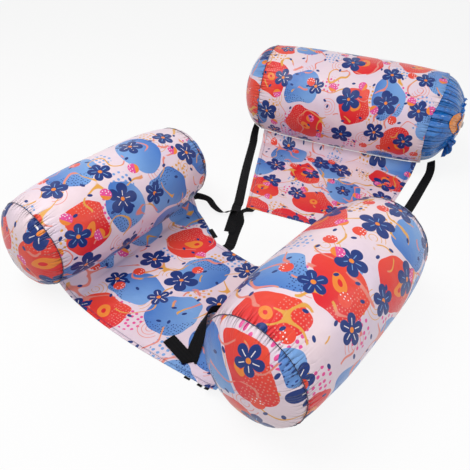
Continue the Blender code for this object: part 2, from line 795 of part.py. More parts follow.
def harness(recline):
    recline_strap("left", -1, recline)
    recline_strap("right", 1, recline)
    link = link_strap("left", -1, LEFT_LINK_SHARE, 0)
    near, far = strap_end("left", -1, link, LEFT_GRIP_SHARE, LEFT_GRIP_OFFSET)
    corner = 1 / SEAT_COLUMNS
    side_strap("left", corner, LEFT_ARM, near, 1, LEFT_SIDE_SHARES)
    link = link_strap("right", 1, RIGHT_LINK_SHARE, RIGHT_LINK_LAP)
    near, far = strap_end("right", 1, link, RIGHT_GRIP_SHARE, RIGHT_GRIP_OFFSET)
    side_strap("right", 1 - corner, RIGHT_ARM, far, 2, RIGHT_SIDE_SHARES)
    rear_tab("left", LEFT_TAB_SHARE)
    rear_tab("right", RIGHT_TAB_SHARE)
    front_strap()
    hem_tabs()


def build():
    armrest("left", LEFT_ARM)
    armrest("right", RIGHT_ARM)
    seat_panel()

    recline = pivot("back_hinge", BACK.place(0, PANEL_DROP, PANEL_WALL))
    cover("back_cover", BACK, recline)
    end_disc("back_left_disc", BACK, -1, recline)
    blind_bulge = BACK.bulge - film_inset() - COVER_WALL
    seat = bladder("back_bladder", BACK, BACK.bulge, blind_bulge, recline)
    end_patch(recline)
    on_patch = seat + SEAM_GAP + PATCH_WALL
    valve("back_valve", BACK, on_patch, recline)
    valve_plug("back_valve_plug", BACK, on_patch)
    back_panel(recline)

    harness(recline)


clear_scene()
PARTS = collection("inflatable_pool_chair")
CUTTERS = collection("cutters")
FLOOR_CUTTER = floor_cutter()
build()
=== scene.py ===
import math

import bpy
import numpy as np
from mathutils import Matrix, Vector


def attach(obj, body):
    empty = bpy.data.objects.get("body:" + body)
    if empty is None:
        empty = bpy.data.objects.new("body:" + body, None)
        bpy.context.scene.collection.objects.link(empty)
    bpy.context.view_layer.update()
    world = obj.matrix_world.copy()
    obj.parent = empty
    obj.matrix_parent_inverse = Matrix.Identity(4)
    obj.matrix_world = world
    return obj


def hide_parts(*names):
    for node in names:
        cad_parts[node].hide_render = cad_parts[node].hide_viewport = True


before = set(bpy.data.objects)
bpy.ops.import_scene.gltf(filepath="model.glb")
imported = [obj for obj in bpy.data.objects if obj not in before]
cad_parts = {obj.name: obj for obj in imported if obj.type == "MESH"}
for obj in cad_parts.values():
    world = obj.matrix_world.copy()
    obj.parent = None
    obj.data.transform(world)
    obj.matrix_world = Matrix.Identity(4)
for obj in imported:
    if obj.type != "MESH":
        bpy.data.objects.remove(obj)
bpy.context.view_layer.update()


# The photographer's place: a normal lens a little over a metre off, looking down on the front left
# corner of the seat. The roll is that of a hand-held picture.
VIEW_AZIMUTH = math.radians(31.4783)
VIEW_ELEVATION = math.radians(40.4691)
VIEW_ROLL = math.radians(3.4752)
VIEW_DISTANCE = 1.2283
VIEW_TARGET = Vector((-0.0332, 0.1819, 0))
LENS = 32.553
SENSOR = 36
NEAREST_SEEN = 0.01

scene = bpy.context.scene
scene.view_settings.view_transform = "Standard"
back = Vector((
    math.sin(VIEW_AZIMUTH) * math.cos(VIEW_ELEVATION),
    -math.cos(VIEW_AZIMUTH) * math.cos(VIEW_ELEVATION),
    math.sin(VIEW_ELEVATION),
))
right = Vector((math.cos(VIEW_AZIMUTH), math.sin(VIEW_AZIMUTH), 0))
upward = back.cross(right)
rolled_right = math.cos(VIEW_ROLL) * right + math.sin(VIEW_ROLL) * upward
rolled_up = math.cos(VIEW_ROLL) * upward - math.sin(VIEW_ROLL) * right
camera = bpy.data.objects.new("camera", bpy.data.cameras.new("camera"))
scene.collection.objects.link(camera)
turn = Matrix((rolled_right, rolled_up, back)).transposed().to_4x4()
camera.matrix_world = Matrix.Translation(VIEW_TARGET + back * VIEW_DISTANCE) @ turn
camera.data.lens = LENS
camera.data.sensor_width = SENSOR
camera.data.clip_start = NEAREST_SEEN
scene.camera = camera


# The studio: white paper that runs out of sight, in a bright room, under two wide softboxes and two
# small lamps that make the glints. The lamps light the chair only as far as its pale cloth keeps its
# tint. The paper looks white to the camera and in reflections by its own colour and glow, and it keeps
# a share of the chair's shadow.
FLOOR_SIZE = 16.0
FLOOR_LEVEL = -0.0004
PAPER = "#C9C9CA"
PAPER_WHITE = "#FEFEFE"
PLAIN_WHITE = "#FFFFFF"
SHADOW_SHARE = 0.13
ROOM_STRENGTH = 0.36
CHAIR_MIDDLE = Vector((0, 0.35, 0.1))


def colour(text):
    """An sRGB hex colour as the linear one that a shader takes."""
    values = [int(text[i:i + 2], 16) / 255 for i in (1, 3, 5)]
    return (*(v / 12.92 if v <= 0.04045 else ((v + 0.055) / 1.055) ** 2.4 for v in values), 1)


def arithmetic(operation, turned=False):
    """A method that passes its values on to a Math node."""
    return lambda *values: calculate(operation, *(reversed(values) if turned else values))


class Value:
    """What an output of a shader node gives. A sum written with it adds the Math nodes it needs."""

    def __init__(self, tree, made, output=0):
        self.tree = tree
        self.made = made
        self.socket = made.outputs[output]

    def __getitem__(self, output):
        return Value(self.tree, self.made, output)

    __add__ = arithmetic("ADD")
    __sub__ = arithmetic("SUBTRACT")
    __rsub__ = arithmetic("SUBTRACT", True)
    __mul__ = arithmetic("MULTIPLY")
    __truediv__ = arithmetic("DIVIDE")
    __pow__ = arithmetic("POWER")
    __abs__ = arithmetic("ABSOLUTE")
    __gt__ = arithmetic("GREATER_THAN")
    __lt__ = arithmetic("LESS_THAN")


def node(tree, kind, inputs=(), output=0, **settings):
    """Adds a shader node, and gives one of its outputs. Each input is a number, a colour or a Value."""
    # Every type's name starts with ShaderNode, so calls leave that out.
    made = tree.nodes.new("ShaderNode" + kind)
    for name, value in settings.items():
        setattr(made, name, value)
    for name, value in dict(inputs).items():
        if isinstance(value, Value):
            tree.links.new(value.socket, made.inputs[name])
        else:
            made.inputs[name].default_value = value
    return Value(tree, made, output) if made.outputs else None


def calculate(operation, *values, clamp=False):
    """The result of a Math node."""
    tree = next(value.tree for value in values if isinstance(value, Value))
    return node(tree, "Math", dict(enumerate(values)), operation=operation, use_clamp=clamp)


def printed(under, ink, mask):
    """A colour printed over another where the mask is 1."""
    under, ink = (colour(given) if isinstance(given, str) else given for given in (under, ink))
    return node(mask.tree, "Mix", {0: mask, 6: under, 7: ink}, 2, data_type="RGBA")


def ramp(value, low, high, last=1.0, **settings):
    """0 at the low value, rising to the last number at the high one."""
    return node(value.tree, "MapRange", {0: value, 1: low, 2: high, 3: 0.0, 4: last}, **settings)


def noise(place, scale, detail, **more):
    """Cloudy noise: how many clouds there are to a unit, and how finely they are broken up."""
    return node(place.tree, "TexNoise", {"Vector": place, "Scale": scale, "Detail": detail, **more})


def bump(height, strength, distance, under=None, invert=False):
    """Relief from a height of 0 to 1 that stands for a distance in metres, laid over other relief."""
    inputs = {"Height": height, "Strength": strength, "Distance": distance}
    if under is not None:
        inputs["Normal"] = under
    return node(height.tree, "Bump", inputs, invert=invert)


def new_material(name):
    """A material without any nodes yet, and its node tree."""
    made = bpy.data.materials.new(name)
    made.use_nodes = True
    made.node_tree.nodes.clear()
    return made, made.node_tree


def coat(base, **inputs):
    """Ends a material with its shader, whose inputs are named with underscores for spaces."""
    inputs = {name.replace("_", " "): value for name, value in inputs.items()}
    shader = node(base.tree, "BsdfPrincipled", {"Base Color": base, **inputs})
    node(base.tree, "OutputMaterial", {"Surface": shader})


def seen_share(tree, share):
    """The share of plain white for rays that show the background: straight, mirrored or let through."""
    path = node(tree, "LightPath")
    seen = calculate("MAXIMUM", path["Is Camera Ray"], path["Is Glossy Ray"])
    return calculate("MAXIMUM", seen, path["Is Transmission Ray"]) * share


def new_piece(name, add, **settings):
    """A mesh object made with one of the operators that add a basic shape."""
    bpy.ops.object.select_all(action="DESELECT")
    add(**settings)
    made = bpy.context.object
    made.name = name
    return made


# Matt paper: no gloss at all, so the chair has no mirror image under it.
paper, tree = new_material("matt_studio_paper")
lit = node(tree, "BsdfDiffuse", {"Color": printed(PAPER, PLAIN_WHITE, seen_share(tree, 1))})
white = node(tree, "Emission", {"Color": colour(PAPER_WHITE), "Strength": 1})
mixed = node(tree, "MixShader", {0: seen_share(tree, 1 - SHADOW_SHARE), 1: lit, 2: white})
node(tree, "OutputMaterial", {"Surface": mixed})
floor = new_piece("studio_floor", bpy.ops.mesh.primitive_plane_add, size=FLOOR_SIZE,
                  location=(0, 0, FLOOR_LEVEL))
floor.data.materials.append(paper)

world = bpy.data.worlds.new("bright_room")
world.use_nodes = True
scene.world = world
tree = world.node_tree
tree.nodes.clear()
room = node(tree, "Background", {"Color": colour(PLAIN_WHITE), "Strength": ROOM_STRENGTH})
white = node(tree, "Background", {"Color": colour(PAPER_WHITE), "Strength": 1})
mixed = node(tree, "MixShader", {0: seen_share(tree, 1), 1: room, 2: white})
node(tree, "OutputWorld", {"Surface": mixed})

for name, power, size, place in (
    ("overhead_softbox", 23, 1.3, Vector((-0.75, -0.35, 2.1))),
    ("front_softbox", 6.8, 1.4, Vector((1.5, -1.5, 1.2))),
    ("small_front_lamp", 4.5, 0.32, Vector((0.2, -0.9, 1.9))),
    ("small_side_lamp", 4, 0.32, Vector((1.45, 0.5, 1.15))),
):
    lamp = bpy.data.objects.new(name, bpy.data.lights.new(name, "AREA"))
    lamp.data.shape = "DISK"
    lamp.data.size = size
    lamp.data.energy = power
    lamp.location = place
    lamp.rotation_euler = (CHAIR_MIDDLE - place).to_track_quat("-Z", "Y").to_euler()
    scene.collection.objects.link(lamp)


# The printed cloth: thin polyester satin, dyed by heat transfer, so the print is part of a smooth
# sheet and has its soft, slightly uneven gloss, with fine creases that run in from every seam. The
# print is a plain scatter of blobs, blossoms, arcs and dots, about 15 cm to a repeat, in millimetres.
# The real weave is 0.2 mm, and it is drawn 0.9 mm wide so that it shows at all.
GROUND = "#F4DDE3"
GROUND_LILAC = "#E8D5E5"
SKY = "#79A6E0"
SKY_DEEP = "#467AC8"
NAVY = "#0E3079"
RED = "#E6212D"
CORAL = "#F04A35"
ORANGE = "#F68C34"
PINK = "#EC4F9C"
OCHRE = "#E9A94B"
SALMON = "#EC8A7C"
WHITE = "#FDF3F6"
TINT_STEP = 160
BLOB_CELL = 148
BLOB_SIZE = 66
BLOB_GAP = 5
BLOB_ROUNDING = 14
BLOB_EYE = 17
BLOB_PUPIL = 6
BLOBS_SHOWN = 0.88
BLUE_SHARE = 0.55
BLOSSOM_CELL = 118
BLOSSOM_CORE = 13
BLOSSOM_PETAL = 21
BLOSSOM_EYE = 5
BLOSSOMS_SHOWN = 0.82
PETALS = 5
VEIN_PLACE = 14
VEIN_REACH = 6
VEIN_HALF = 0.8
BALL_CELL = 104
BALL_SIZE = 14
BALLS_SHOWN = 0.75
ARC_CELL = 120
ARC_SIZE = 30
ARC_STEP = 9
ARC_HALF = 0.75
DOT_CELL = 13
DOT_SIZE = 3.6
CLUSTER_CELL = 112
CLUSTER_SIZE = 30
SEED_CELL = 62
SEED_SIZE = 6
SPECK_CELL = 7
SPECK_SIZE = 1.4
WARP_STEP = 90
WARP_SIZE = 60
TRAIL_STEP = 80
TRAIL_HALF = 0.012
TRAIL_EDGE = 0.006
HEM_STITCH = 9.0
STITCH_STEP = 4.2
STITCH_HALF = 0.45
PRINT_EDGE = 0.7
WEAVE_STEP = 0.9
WOBBLE_STEP = 55
SLACK_STEP = 38
STRAY_STEP = 17


def crisp(inside, edge=PRINT_EDGE):
    """1 where a distance is positive, with a narrow soft edge."""
    return calculate("ADD", inside / edge, 0.5, clamp=True)


def flat_place(tree, uv_map):
    """The place on a UV map, in millimetres."""
    uv = node(tree, "UVMap", uv_map=uv_map)
    return node(tree, "VectorMath", {0: uv, "Scale": 1000}, operation="SCALE")


def cells(place, cell, shift, spread, **settings):
    """Cells of about one size, and the place in them. Each shift gives other cells."""
    moved = node(place.tree, "VectorMath", {0: place, 1: (shift * 37.0, shift * 91.0, 0)})
    inputs = {"Vector": moved, "Scale": 1 / cell, "Randomness": spread}
    return moved, node(place.tree, "TexVoronoi", inputs, voronoi_dimensions="2D", **settings)


def scatter(place, cell, shift, spread=0.7, stretch=1.0):
    """One motif to a cell: its own sideways and lengthways place, distance, angle and random numbers."""
    tree = place.tree
    moved, found = cells(place, cell, shift, spread)
    local = node(tree, "VectorMath", {0: moved, 1: found["Position"]}, operation="SUBTRACT")
    chance = node(tree, "SeparateColor", {0: found["Color"]})
    spun = node(tree, "VectorRotate", {"Vector": local, "Angle": chance[0] * math.tau},
                rotation_type="Z_AXIS")
    squeezed = node(tree, "VectorMath", {0: spun, 1: (1, stretch, 0)}, operation="MULTIPLY")
    axes = node(tree, "SeparateXYZ", {0: squeezed})
    length = node(tree, "VectorMath", {0: squeezed}, "Value", operation="LENGTH")
    return axes[0], axes[1], length, calculate("ARCTAN2", axes[1], axes[0]), chance


def print_colour(place, wobble):
    """The whole print, from the ground up."""
    tint = noise(place, 1 / TINT_STEP, 1)
    ink = printed(GROUND, GROUND_LILAC, crisp(tint - 0.5, 0.3))

    side, along, length, around, chance = scatter(place, CLUSTER_CELL, 5)
    dot = crisp(DOT_SIZE - scatter(place, DOT_CELL, 6, 0.35)[2])
    kind = printed(printed(SKY, PINK, chance[1] > 0.36), OCHRE, chance[1] > 0.7)
    ink = printed(ink, kind, crisp(CLUSTER_SIZE - length) * dot)

    side, along, length, around, chance = scatter(place, ARC_CELL, 9)
    arc = crisp(ARC_HALF - calculate("PINGPONG", length, ARC_STEP / 2))
    kind = printed(SALMON, OCHRE, chance[2] > 0.5)
    ink = printed(ink, kind, arc * crisp(side + 8) * crisp(ARC_SIZE - length))

    bent = node(place.tree, "VectorMath", {
        0: noise(place, 1 / WARP_STEP, 1)["Color"], 1: (WARP_SIZE,) * 3, 2: place}, operation="MULTIPLY_ADD")
    side, along, length, around, chance = scatter(bent, BLOB_CELL, 1, 0.7, 1.15)
    fence = cells(bent, BLOB_CELL, 1, 0.7, feature="DISTANCE_TO_EDGE")[1] * BLOB_CELL - BLOB_GAP
    inside = calculate("SMOOTH_MIN", BLOB_SIZE - length, fence, BLOB_ROUNDING)
    shade = calculate("ADD", along * 0.010, 0.45, clamp=True)
    speck = crisp(SPECK_SIZE - scatter(place, SPECK_CELL, 3, 0.5)[2])
    blue = printed(printed(SKY, SKY_DEEP, shade), NAVY, speck * crisp(-24 - side))
    warm = printed(printed(RED, CORAL, shade), SALMON, speck * crisp(side - 20))
    warm = printed(warm, ORANGE, crisp(BLOB_EYE - length))
    warm = printed(warm, RED, crisp(BLOB_PUPIL - length))
    kind = printed(blue, warm, chance[1] > BLUE_SHARE)
    ink = printed(ink, kind, crisp(inside) * (chance[2] < BLOBS_SHOWN))

    trail = noise(place, 1 / TRAIL_STEP, 0.5)
    line = crisp(TRAIL_HALF - abs(trail - 0.5), TRAIL_EDGE)
    kind = printed(OCHRE, SALMON, crisp(tint - 0.5, 0.02))
    ink = printed(ink, kind, line * crisp(wobble - 0.47, 0.02))

    side, along, length, around, chance = scatter(place, BLOSSOM_CELL, 2, 0.55)
    shown = chance[1] < BLOSSOMS_SHOWN
    lobes = abs(calculate("COSINE", around * (PETALS / 2))) ** 0.5
    rim = (chance[2] * 0.5 + 0.75) * (lobes * BLOSSOM_PETAL + BLOSSOM_CORE)
    ink = printed(ink, NAVY, crisp(rim - length) * shown)
    off_vein = (math.pi / PETALS - calculate("PINGPONG", around + math.pi, math.pi / PETALS)) * length
    vein = crisp(VEIN_HALF - off_vein) * crisp(VEIN_REACH - abs(length - VEIN_PLACE))
    ink = printed(ink, printed(WHITE, SKY, chance[0] > 0.5), vein * shown)
    ink = printed(ink, ORANGE, crisp(BLOSSOM_EYE - length) * shown)

    side, along, length, around, chance = scatter(place, BALL_CELL, 11, 0.85)
    kind = printed(PINK, ORANGE, crisp(-4 - along))
    kind = printed(kind, CORAL, chance[2] > 0.6)
    kind = printed(kind, WHITE, speck * crisp(along))
    ink = printed(ink, kind, crisp(BALL_SIZE - length) * (chance[1] < BALLS_SHOWN))

    seed = scatter(place, SEED_CELL, 17, 0.9, 1.7)[2]
    return printed(ink, NAVY, crisp(SEED_SIZE - seed))


def edge_folds(tree, step, fade):
    """Height of the folds drawn from an edge, and the place along and off it, by UV map "edge"."""
    edge = flat_place(tree, "edge")
    off = node(tree, "SeparateXYZ", {0: edge})
    stretched = node(tree, "VectorMath", {0: edge, 1: (1, 0.2, 0)}, operation="MULTIPLY")
    stray = noise(stretched, 1 / STRAY_STEP, 1)
    reach = node(tree, "TexNoise", {"W": off[0], "Scale": 1 / step, "Detail": 0},
                 noise_dimensions="1D")
    wave = calculate("SINE", (stray * (step * 3) + off[0]) * (math.pi / step))
    long = calculate("MAXIMUM", reach * (fade * 2), 1)
    return (1 - abs(wave) ** 0.6) * calculate("POWER", 0.5, off[1] / long), off


def sewn_satin(name, gather_step, gather_depth, gather_fade, stitched):
    """Printed satin, creased along its sewn edges. UV map "edge" has the place along and off an edge."""
    made, tree = new_material(name)
    place = flat_place(tree, "cloth")
    wobble = noise(place, 1 / WOBBLE_STEP, 1.5)
    ink = print_colour(place, wobble)
    fold, off = edge_folds(tree, gather_step, gather_fade)
    axes = node(tree, "SeparateXYZ", {0: place})
    warp, weft = (calculate("SINE", axes[way] * (math.tau / WEAVE_STEP)) for way in (0, 1))
    relief = bump(warp * weft, 0.12, 0.0002)
    relief = bump(noise(place, 1 / SLACK_STEP, 2, Roughness=0.45), 0.8, 0.004, relief)
    relief = bump(fold, 1, gather_depth, relief, invert=True)
    if stitched:
        row = abs(off[1] - HEM_STITCH)
        pitch = calculate("PINGPONG", off[0], STITCH_STEP / 2)
        ink = printed(ink, NAVY, crisp(STITCH_HALF - row) * crisp(STITCH_STEP * 0.36 - pitch))
        groove = 1 - ramp(row, 0.3, 2.2, interpolation_type="SMOOTHSTEP")
        relief = bump(groove, 0.9, 0.0012, relief, invert=True)
    coat(ink, Roughness=wobble * 0.12 + 0.27, Normal=relief, Specular_IOR_Level=0.34, Sheen_Weight=0.04,
         Sheen_Roughness=0.4)
    return made


# Gathered satin puckers deeply at its ring seams, so it catches the light in short bright ridges.
# Hemmed satin lies flat, with a shallow ripple and a line of navy stitches sunk along its edge.
satin = sewn_satin("printed_polyester_satin", 8.5, 0.0045, 9, False)
hemmed_satin = sewn_satin("hemmed_printed_satin", 7, 0.0012, 8, True)


def write_uv(piece, name, flat):
    """Writes a UV map in metres, from a place for each of the mesh's points or of its face corners."""
    corners = np.empty(len(piece.data.loops), np.int32)
    piece.data.loops.foreach_get("vertex_index", corners)
    if len(flat) == len(piece.data.vertices):
        flat = flat[corners]
    layer = piece.data.uv_layers.new(name=name)
    layer.data.foreach_set("uv", flat.astype(np.float32).ravel())


# The two armrests and the back bolster: sewn cloth tubes, blown tight by a film bladder inside, with
# a round cloth end gathered into each ring seam. The back's right end is left open. Each is blown up
# as one closed form, then parted at its ring seams, where the gathers pull small radial puckers.
ROUND_SIDES = 128
LENGTH_CUTS = 43
CAP_RINGS = 12
CROWN_POWER = 3.5
BULGE_POWER = 1.22
SWELL_ROOM = 0.0022
OPEN_RIM_WIDTH = 0.018
SWELL_LIMIT = 0.004
AIR_FRAMES = 20
AIR_PRESSURE = 4
CLOTH_MASS = 0.25
CLOTH_STIFFNESS = 18
CLOTH_BENDING = 1.5
HELD_SHARE = 0.15
FLOOR_FLAT = 0.0005
PUCKER_DEPTH = 0.0024
PUCKER_WIDTH = 0.0036
PUCKER_PITCH = 0.0125
CAP_PUCKER = 0.015
SIDE_PUCKER = 0.012
CAP_CREASE_DEPTH = 0.0016
CAP_CREASE_LENGTH = 0.045
CAP_CREASE_WIDTH = 0.006
CAP_CREASE_PITCH = 0.05
SEAM_RECESS = 0.0016
SEAM_RECESS_WIDTH = 0.0045
FOOT_LEAN = 0.015
FOOT_SPLAY = {"left_armrest": 0, "right_armrest": 0.010}
FOOT_SPREAD = 0.07
SLEEVE_HEM = 0.0016
SLEEVE_HEM_WIDTH = 0.010
SLEEVE_UNEVEN = 0.003
SLEEVE_LOOSE = 0.12
SLEEVE_RETREAT = 0.027
SLEEVE_SIDE = math.radians(80)


class Bolster:
    """Sizes and place of one bolster. inward is the side of its axis that its panel lies on."""

    def __init__(self, name, radius, ring_share, span, bulge, x, y, turn, inward, seam_angle):
        self.name = name
        self.radius = radius
        self.ring = radius * ring_share
        self.half = span / 2
        self.bulge = bulge
        self.x = x
        self.y = y
        self.turn = turn
        self.inward = inward
        self.seam_angle = seam_angle
        self.height = radius - FLOOR_FLAT
        lie = Matrix.Rotation(turn, 4, "Z") @ Matrix.Rotation(math.radians(-90), 4, "X")
        self.matrix = Matrix.Translation((x, y, self.height)) @ lie

    def radius_at(self, axial):
        """The tube's radius, which is greatest in its middle."""
        swell = 1 - min(abs(axial) / self.half, 1) ** CROWN_POWER
        return self.ring + (self.radius - self.ring) * swell

    def place(self, axial, inward, height):
        """World point from the distance along the axis, towards the panel, and above the floor."""
        side = inward * self.inward
        return Vector((
            self.x - axial * math.sin(self.turn) + side * math.cos(self.turn),
            self.y + axial * math.cos(self.turn) + side * math.sin(self.turn),
            height,
        ))

    def on_rim(self, axial, reach, angle):
        """World point at a distance from the axis, at an angle from straight down to the panel."""
        return self.place(axial, reach * math.sin(angle), self.height - reach * math.cos(angle))

    def seam(self, axial, off=0.0008):
        """World point just off the line that the panel is sewn on by."""
        return self.on_rim(axial, self.radius_at(axial) + off, self.seam_angle)


LEFT_ARM = Bolster("left_armrest", 0.125, 0.853, 0.483, 0.052, -0.297, -0.003,
                   math.radians(-3.4), 1, math.radians(30))
RIGHT_ARM = Bolster("right_armrest", 0.135, 0.853, 0.483, 0.052, 0.309, 0.006,
                    math.radians(-7.8), -1, math.radians(30))
BACK = Bolster("back", 0.166, 0.94, 0.605, 0.090, -0.0115, 0.8955,
               math.radians(12.5 - 90), 1, math.radians(35))


def coordinates(piece):
    """The mesh's points, as rows of x, y and z."""
    found = np.empty(len(piece.data.vertices) * 3)
    piece.data.vertices.foreach_get("co", found)
    return found.reshape(-1, 3)


def polar(piece):
    """The mesh's points, their distance from the Z axis, and their angle round it from the top."""
    points = coordinates(piece)
    return points, np.linalg.norm(points[:, :2], axis=1), np.arctan2(points[:, 0], -points[:, 1])


def move_points(piece, points):
    """Moves the mesh's points."""
    piece.data.vertices.foreach_set("co", np.asarray(points, np.float32).ravel())
    piece.data.update()


def select_only(piece):
    """Makes a piece the only selected one, and the active one."""
    bpy.ops.object.select_all(action="DESELECT")
    piece.select_set(True)
    bpy.context.view_layer.objects.active = piece


def apply_modifier(piece, kind, **settings):
    """Adds a modifier to a piece and applies it."""
    select_only(piece)
    made = piece.modifiers.new(kind.lower(), kind)
    for name, value in settings.items():
        setattr(made, name, value)
    bpy.ops.object.modifier_apply(modifier=made.name)


def stand_for(piece, cad_name):
    """Shows a piece in the place of its CAD node."""
    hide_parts(cad_name)


def set_down(piece, matrix, body):
    """Puts a finished piece in its place, smooth, with nothing under the floor, riding on its body."""
    select_only(piece)
    piece.data.transform(matrix)
    points = coordinates(piece)
    points[:, 2] = np.maximum(points[:, 2], 0)
    move_points(piece, points)
    bpy.ops.object.shade_smooth()
    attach(piece, body)


def dome(reach, ring, bulge):
    """Height of a blown-out round end at a distance from its axis."""
    return bulge * np.sqrt(np.clip(1 - (reach / ring) ** 2, 0, 1)) ** BULGE_POWER


def edit_chosen(piece, kind, chosen):
    """Opens the active piece for editing, with its chosen edges or faces selected."""
    bpy.ops.object.mode_set(mode="EDIT")
    bpy.ops.mesh.select_mode(type=kind)
    bpy.ops.mesh.select_all(action="DESELECT")
    bpy.ops.object.mode_set(mode="OBJECT")
    for part in piece.data.edges if kind == "EDGE" else piece.data.polygons:
        part.select = bool(chosen(part))
    bpy.ops.object.mode_set(mode="EDIT")


def closed_tube(name, ring, half):
    """A tube with flat ringed ends, along Z, as a net of even faces."""
    piece = new_piece(name, bpy.ops.mesh.primitive_cylinder_add, vertices=ROUND_SIDES, radius=ring,
                      depth=2 * half)
    level = coordinates(piece)[:, 2]
    edit_chosen(piece, "EDGE", lambda edge: level[edge.vertices[0]] * level[edge.vertices[1]] < 0)
    bpy.ops.mesh.subdivide(number_cuts=LENGTH_CUTS)
    edit_chosen(piece, "FACE", lambda face: len(face.vertices) == ROUND_SIDES)
    for _ in range(CAP_RINGS):
        bpy.ops.mesh.inset(thickness=ring / (CAP_RINGS + 0.6))
    bpy.ops.mesh.poke()
    bpy.ops.object.mode_set(mode="OBJECT")
    return piece


def blow_up(piece, held):
    """Lets air pressure swell a closed cloth form, whose held points keep still."""
    before = coordinates(piece)
    group = piece.vertex_groups.new(name="held")
    group.add([int(i) for i in np.nonzero(held)[0]], 1.0, "REPLACE")
    select_only(piece)
    air = piece.modifiers.new("air", "CLOTH")
    air.settings.quality = 5
    air.settings.mass = CLOTH_MASS
    air.settings.tension_stiffness = CLOTH_STIFFNESS
    air.settings.compression_stiffness = CLOTH_STIFFNESS
    air.settings.bending_stiffness = CLOTH_BENDING
    air.settings.use_pressure = True
    air.settings.uniform_pressure_force = AIR_PRESSURE
    air.settings.vertex_group_mass = "held"
    air.settings.effector_weights.gravity = 0
    air.point_cache.frame_start = 1
    air.point_cache.frame_end = AIR_FRAMES
    for number in range(1, AIR_FRAMES + 1):
        scene.frame_set(number)
    bpy.ops.object.modifier_apply(modifier=air.name)
    piece.vertex_groups.clear()
    moved = coordinates(piece) - before
    far = np.linalg.norm(moved, axis=1, keepdims=True)
    move_points(piece, before + moved * np.minimum(1, SWELL_LIMIT / np.maximum(far, 1e-9)))


def gathers(around, away, radius, seed, depth, length, width=PUCKER_WIDTH, pitch=PUCKER_PITCH):
    """Depth of the puckers that a gathered ring seam pulls, at an angle and a distance from it."""
    chance = np.random.RandomState(seed)
    count = int(math.tau * radius / pitch)
    found = np.zeros(len(around))
    for number in range(count):
        middle = (number + chance.uniform(-0.35, 0.35)) * math.tau / count
        deep = depth * chance.uniform(0.25, 1)
        long = length * chance.uniform(0.5, 1.6)
        wide = width * chance.uniform(0.8, 1.5)
        side = np.abs((around - middle + math.pi) % math.tau - math.pi) * radius
        found += deep * np.exp(-(side / (wide * (1 + away / length * 0.5))) ** 2 - (away / long) ** 1.6)
    return found


def lay_cloth(piece, planar, shift):
    """Lays the cloth's flat cut on a piece, in metres: round the tube, or straight on a round end."""
    points, reach, around = polar(piece)
    flat = np.stack([points[:, 0], -points[:, 1]], 1)
    if not planar:
        corners = np.empty(len(piece.data.loops), np.int32)
        piece.data.loops.foreach_get("vertex_index", corners)
        around = around[corners]
        faces = np.empty(len(piece.data.polygons), np.int32)
        piece.data.polygons.foreach_get("loop_total", faces)
        owner = np.repeat(np.arange(len(faces)), faces)
        top = np.full(len(faces), -9.0)
        np.maximum.at(top, owner, around)
        around = np.where((top[owner] > 2) & (around < 0), around + math.tau, around)
        flat = np.stack([around * float(reach.mean()), points[:, 2][corners]], 1)
    write_uv(piece, "cloth", flat + np.array(shift))


def part_at(piece, name, chosen):
    """Splits the chosen faces off as a piece of their own."""
    select_only(piece)
    edit_chosen(piece, "FACE", lambda face: chosen(face.center))
    bpy.ops.mesh.separate(type="SELECTED")
    bpy.ops.object.mode_set(mode="OBJECT")
    made = [o for o in bpy.context.selected_objects if o != piece][0]
    made.name = name
    return made


def lean_foot(piece, bolster):
    """Leans an armrest's front end out where it rests on the floor, and spreads its outer side."""
    points = coordinates(piece)
    low = np.clip((points[:, 1] / bolster.ring + 0.25) / 1.25, 0, 1) ** 1.3
    front = np.clip((-points[:, 2] - bolster.half + FOOT_SPREAD) / FOOT_SPREAD, 0, 1)
    outer = np.clip(-points[:, 0] * bolster.inward / bolster.ring, 0, 1)
    share = low * front * front * (3 - 2 * front)
    points[:, 0] -= bolster.inward * FOOT_SPLAY[bolster.name] * share * outer
    points[:, 2] -= FOOT_LEAN * share
    move_points(piece, points)


def open_sleeve(piece, half, ring):
    """Gives the open end its uneven rim, drawn back at the front, with a rolled hem."""
    points, _, around = polar(piece)
    near = np.clip((points[:, 2] - half + SLEEVE_LOOSE) / SLEEVE_LOOSE, 0, 1)
    uneven = np.sin(around * 3 + 1) * 0.3 + np.sin(around * 7) * 0.3 + np.sin(around * 16 + 2) * 0.2
    drawn_back = near * (SLEEVE_RETREAT * np.exp(-((around - SLEEVE_SIDE) / 0.75) ** 2)
                         + SLEEVE_UNEVEN * (0.8 + uneven))
    points[:, 2] -= drawn_back
    swell = SLEEVE_HEM * np.exp(-((half - drawn_back - points[:, 2]) / SLEEVE_HEM_WIDTH) ** 4)
    points[:, :2] *= 1 + (swell / ring)[:, None]
    move_points(piece, points)


def full_tube(name, bolster, ring, slack, bulges, rim=0):
    """A bolster's closed form, smaller by a slack all round, with its rear rim drawn out and its ends bulged.

    Also gives how far each point was from the axis at first, and whether it is on a round end.
    """
    piece = closed_tube(name, ring, bolster.half)
    points, reach, _ = polar(piece)
    on_cap = np.abs(points[:, 2]) > bolster.half - 1e-5
    crown = np.array([bolster.radius_at(z) for z in points[:, 2]]) - slack
    crown += np.exp(-((bolster.half - points[:, 2]) / OPEN_RIM_WIDTH) ** 2) * rim
    points[:, :2] *= np.where(on_cap, 1, crown / np.maximum(reach, 1e-6))[:, None]
    ends = np.sign(points[:, 2])
    points[:, 2] += np.where(on_cap, ends * dome(reach, ring, np.where(ends > 0, bulges[1], bulges[0])), 0)
    move_points(piece, points)
    return piece, reach, on_cap


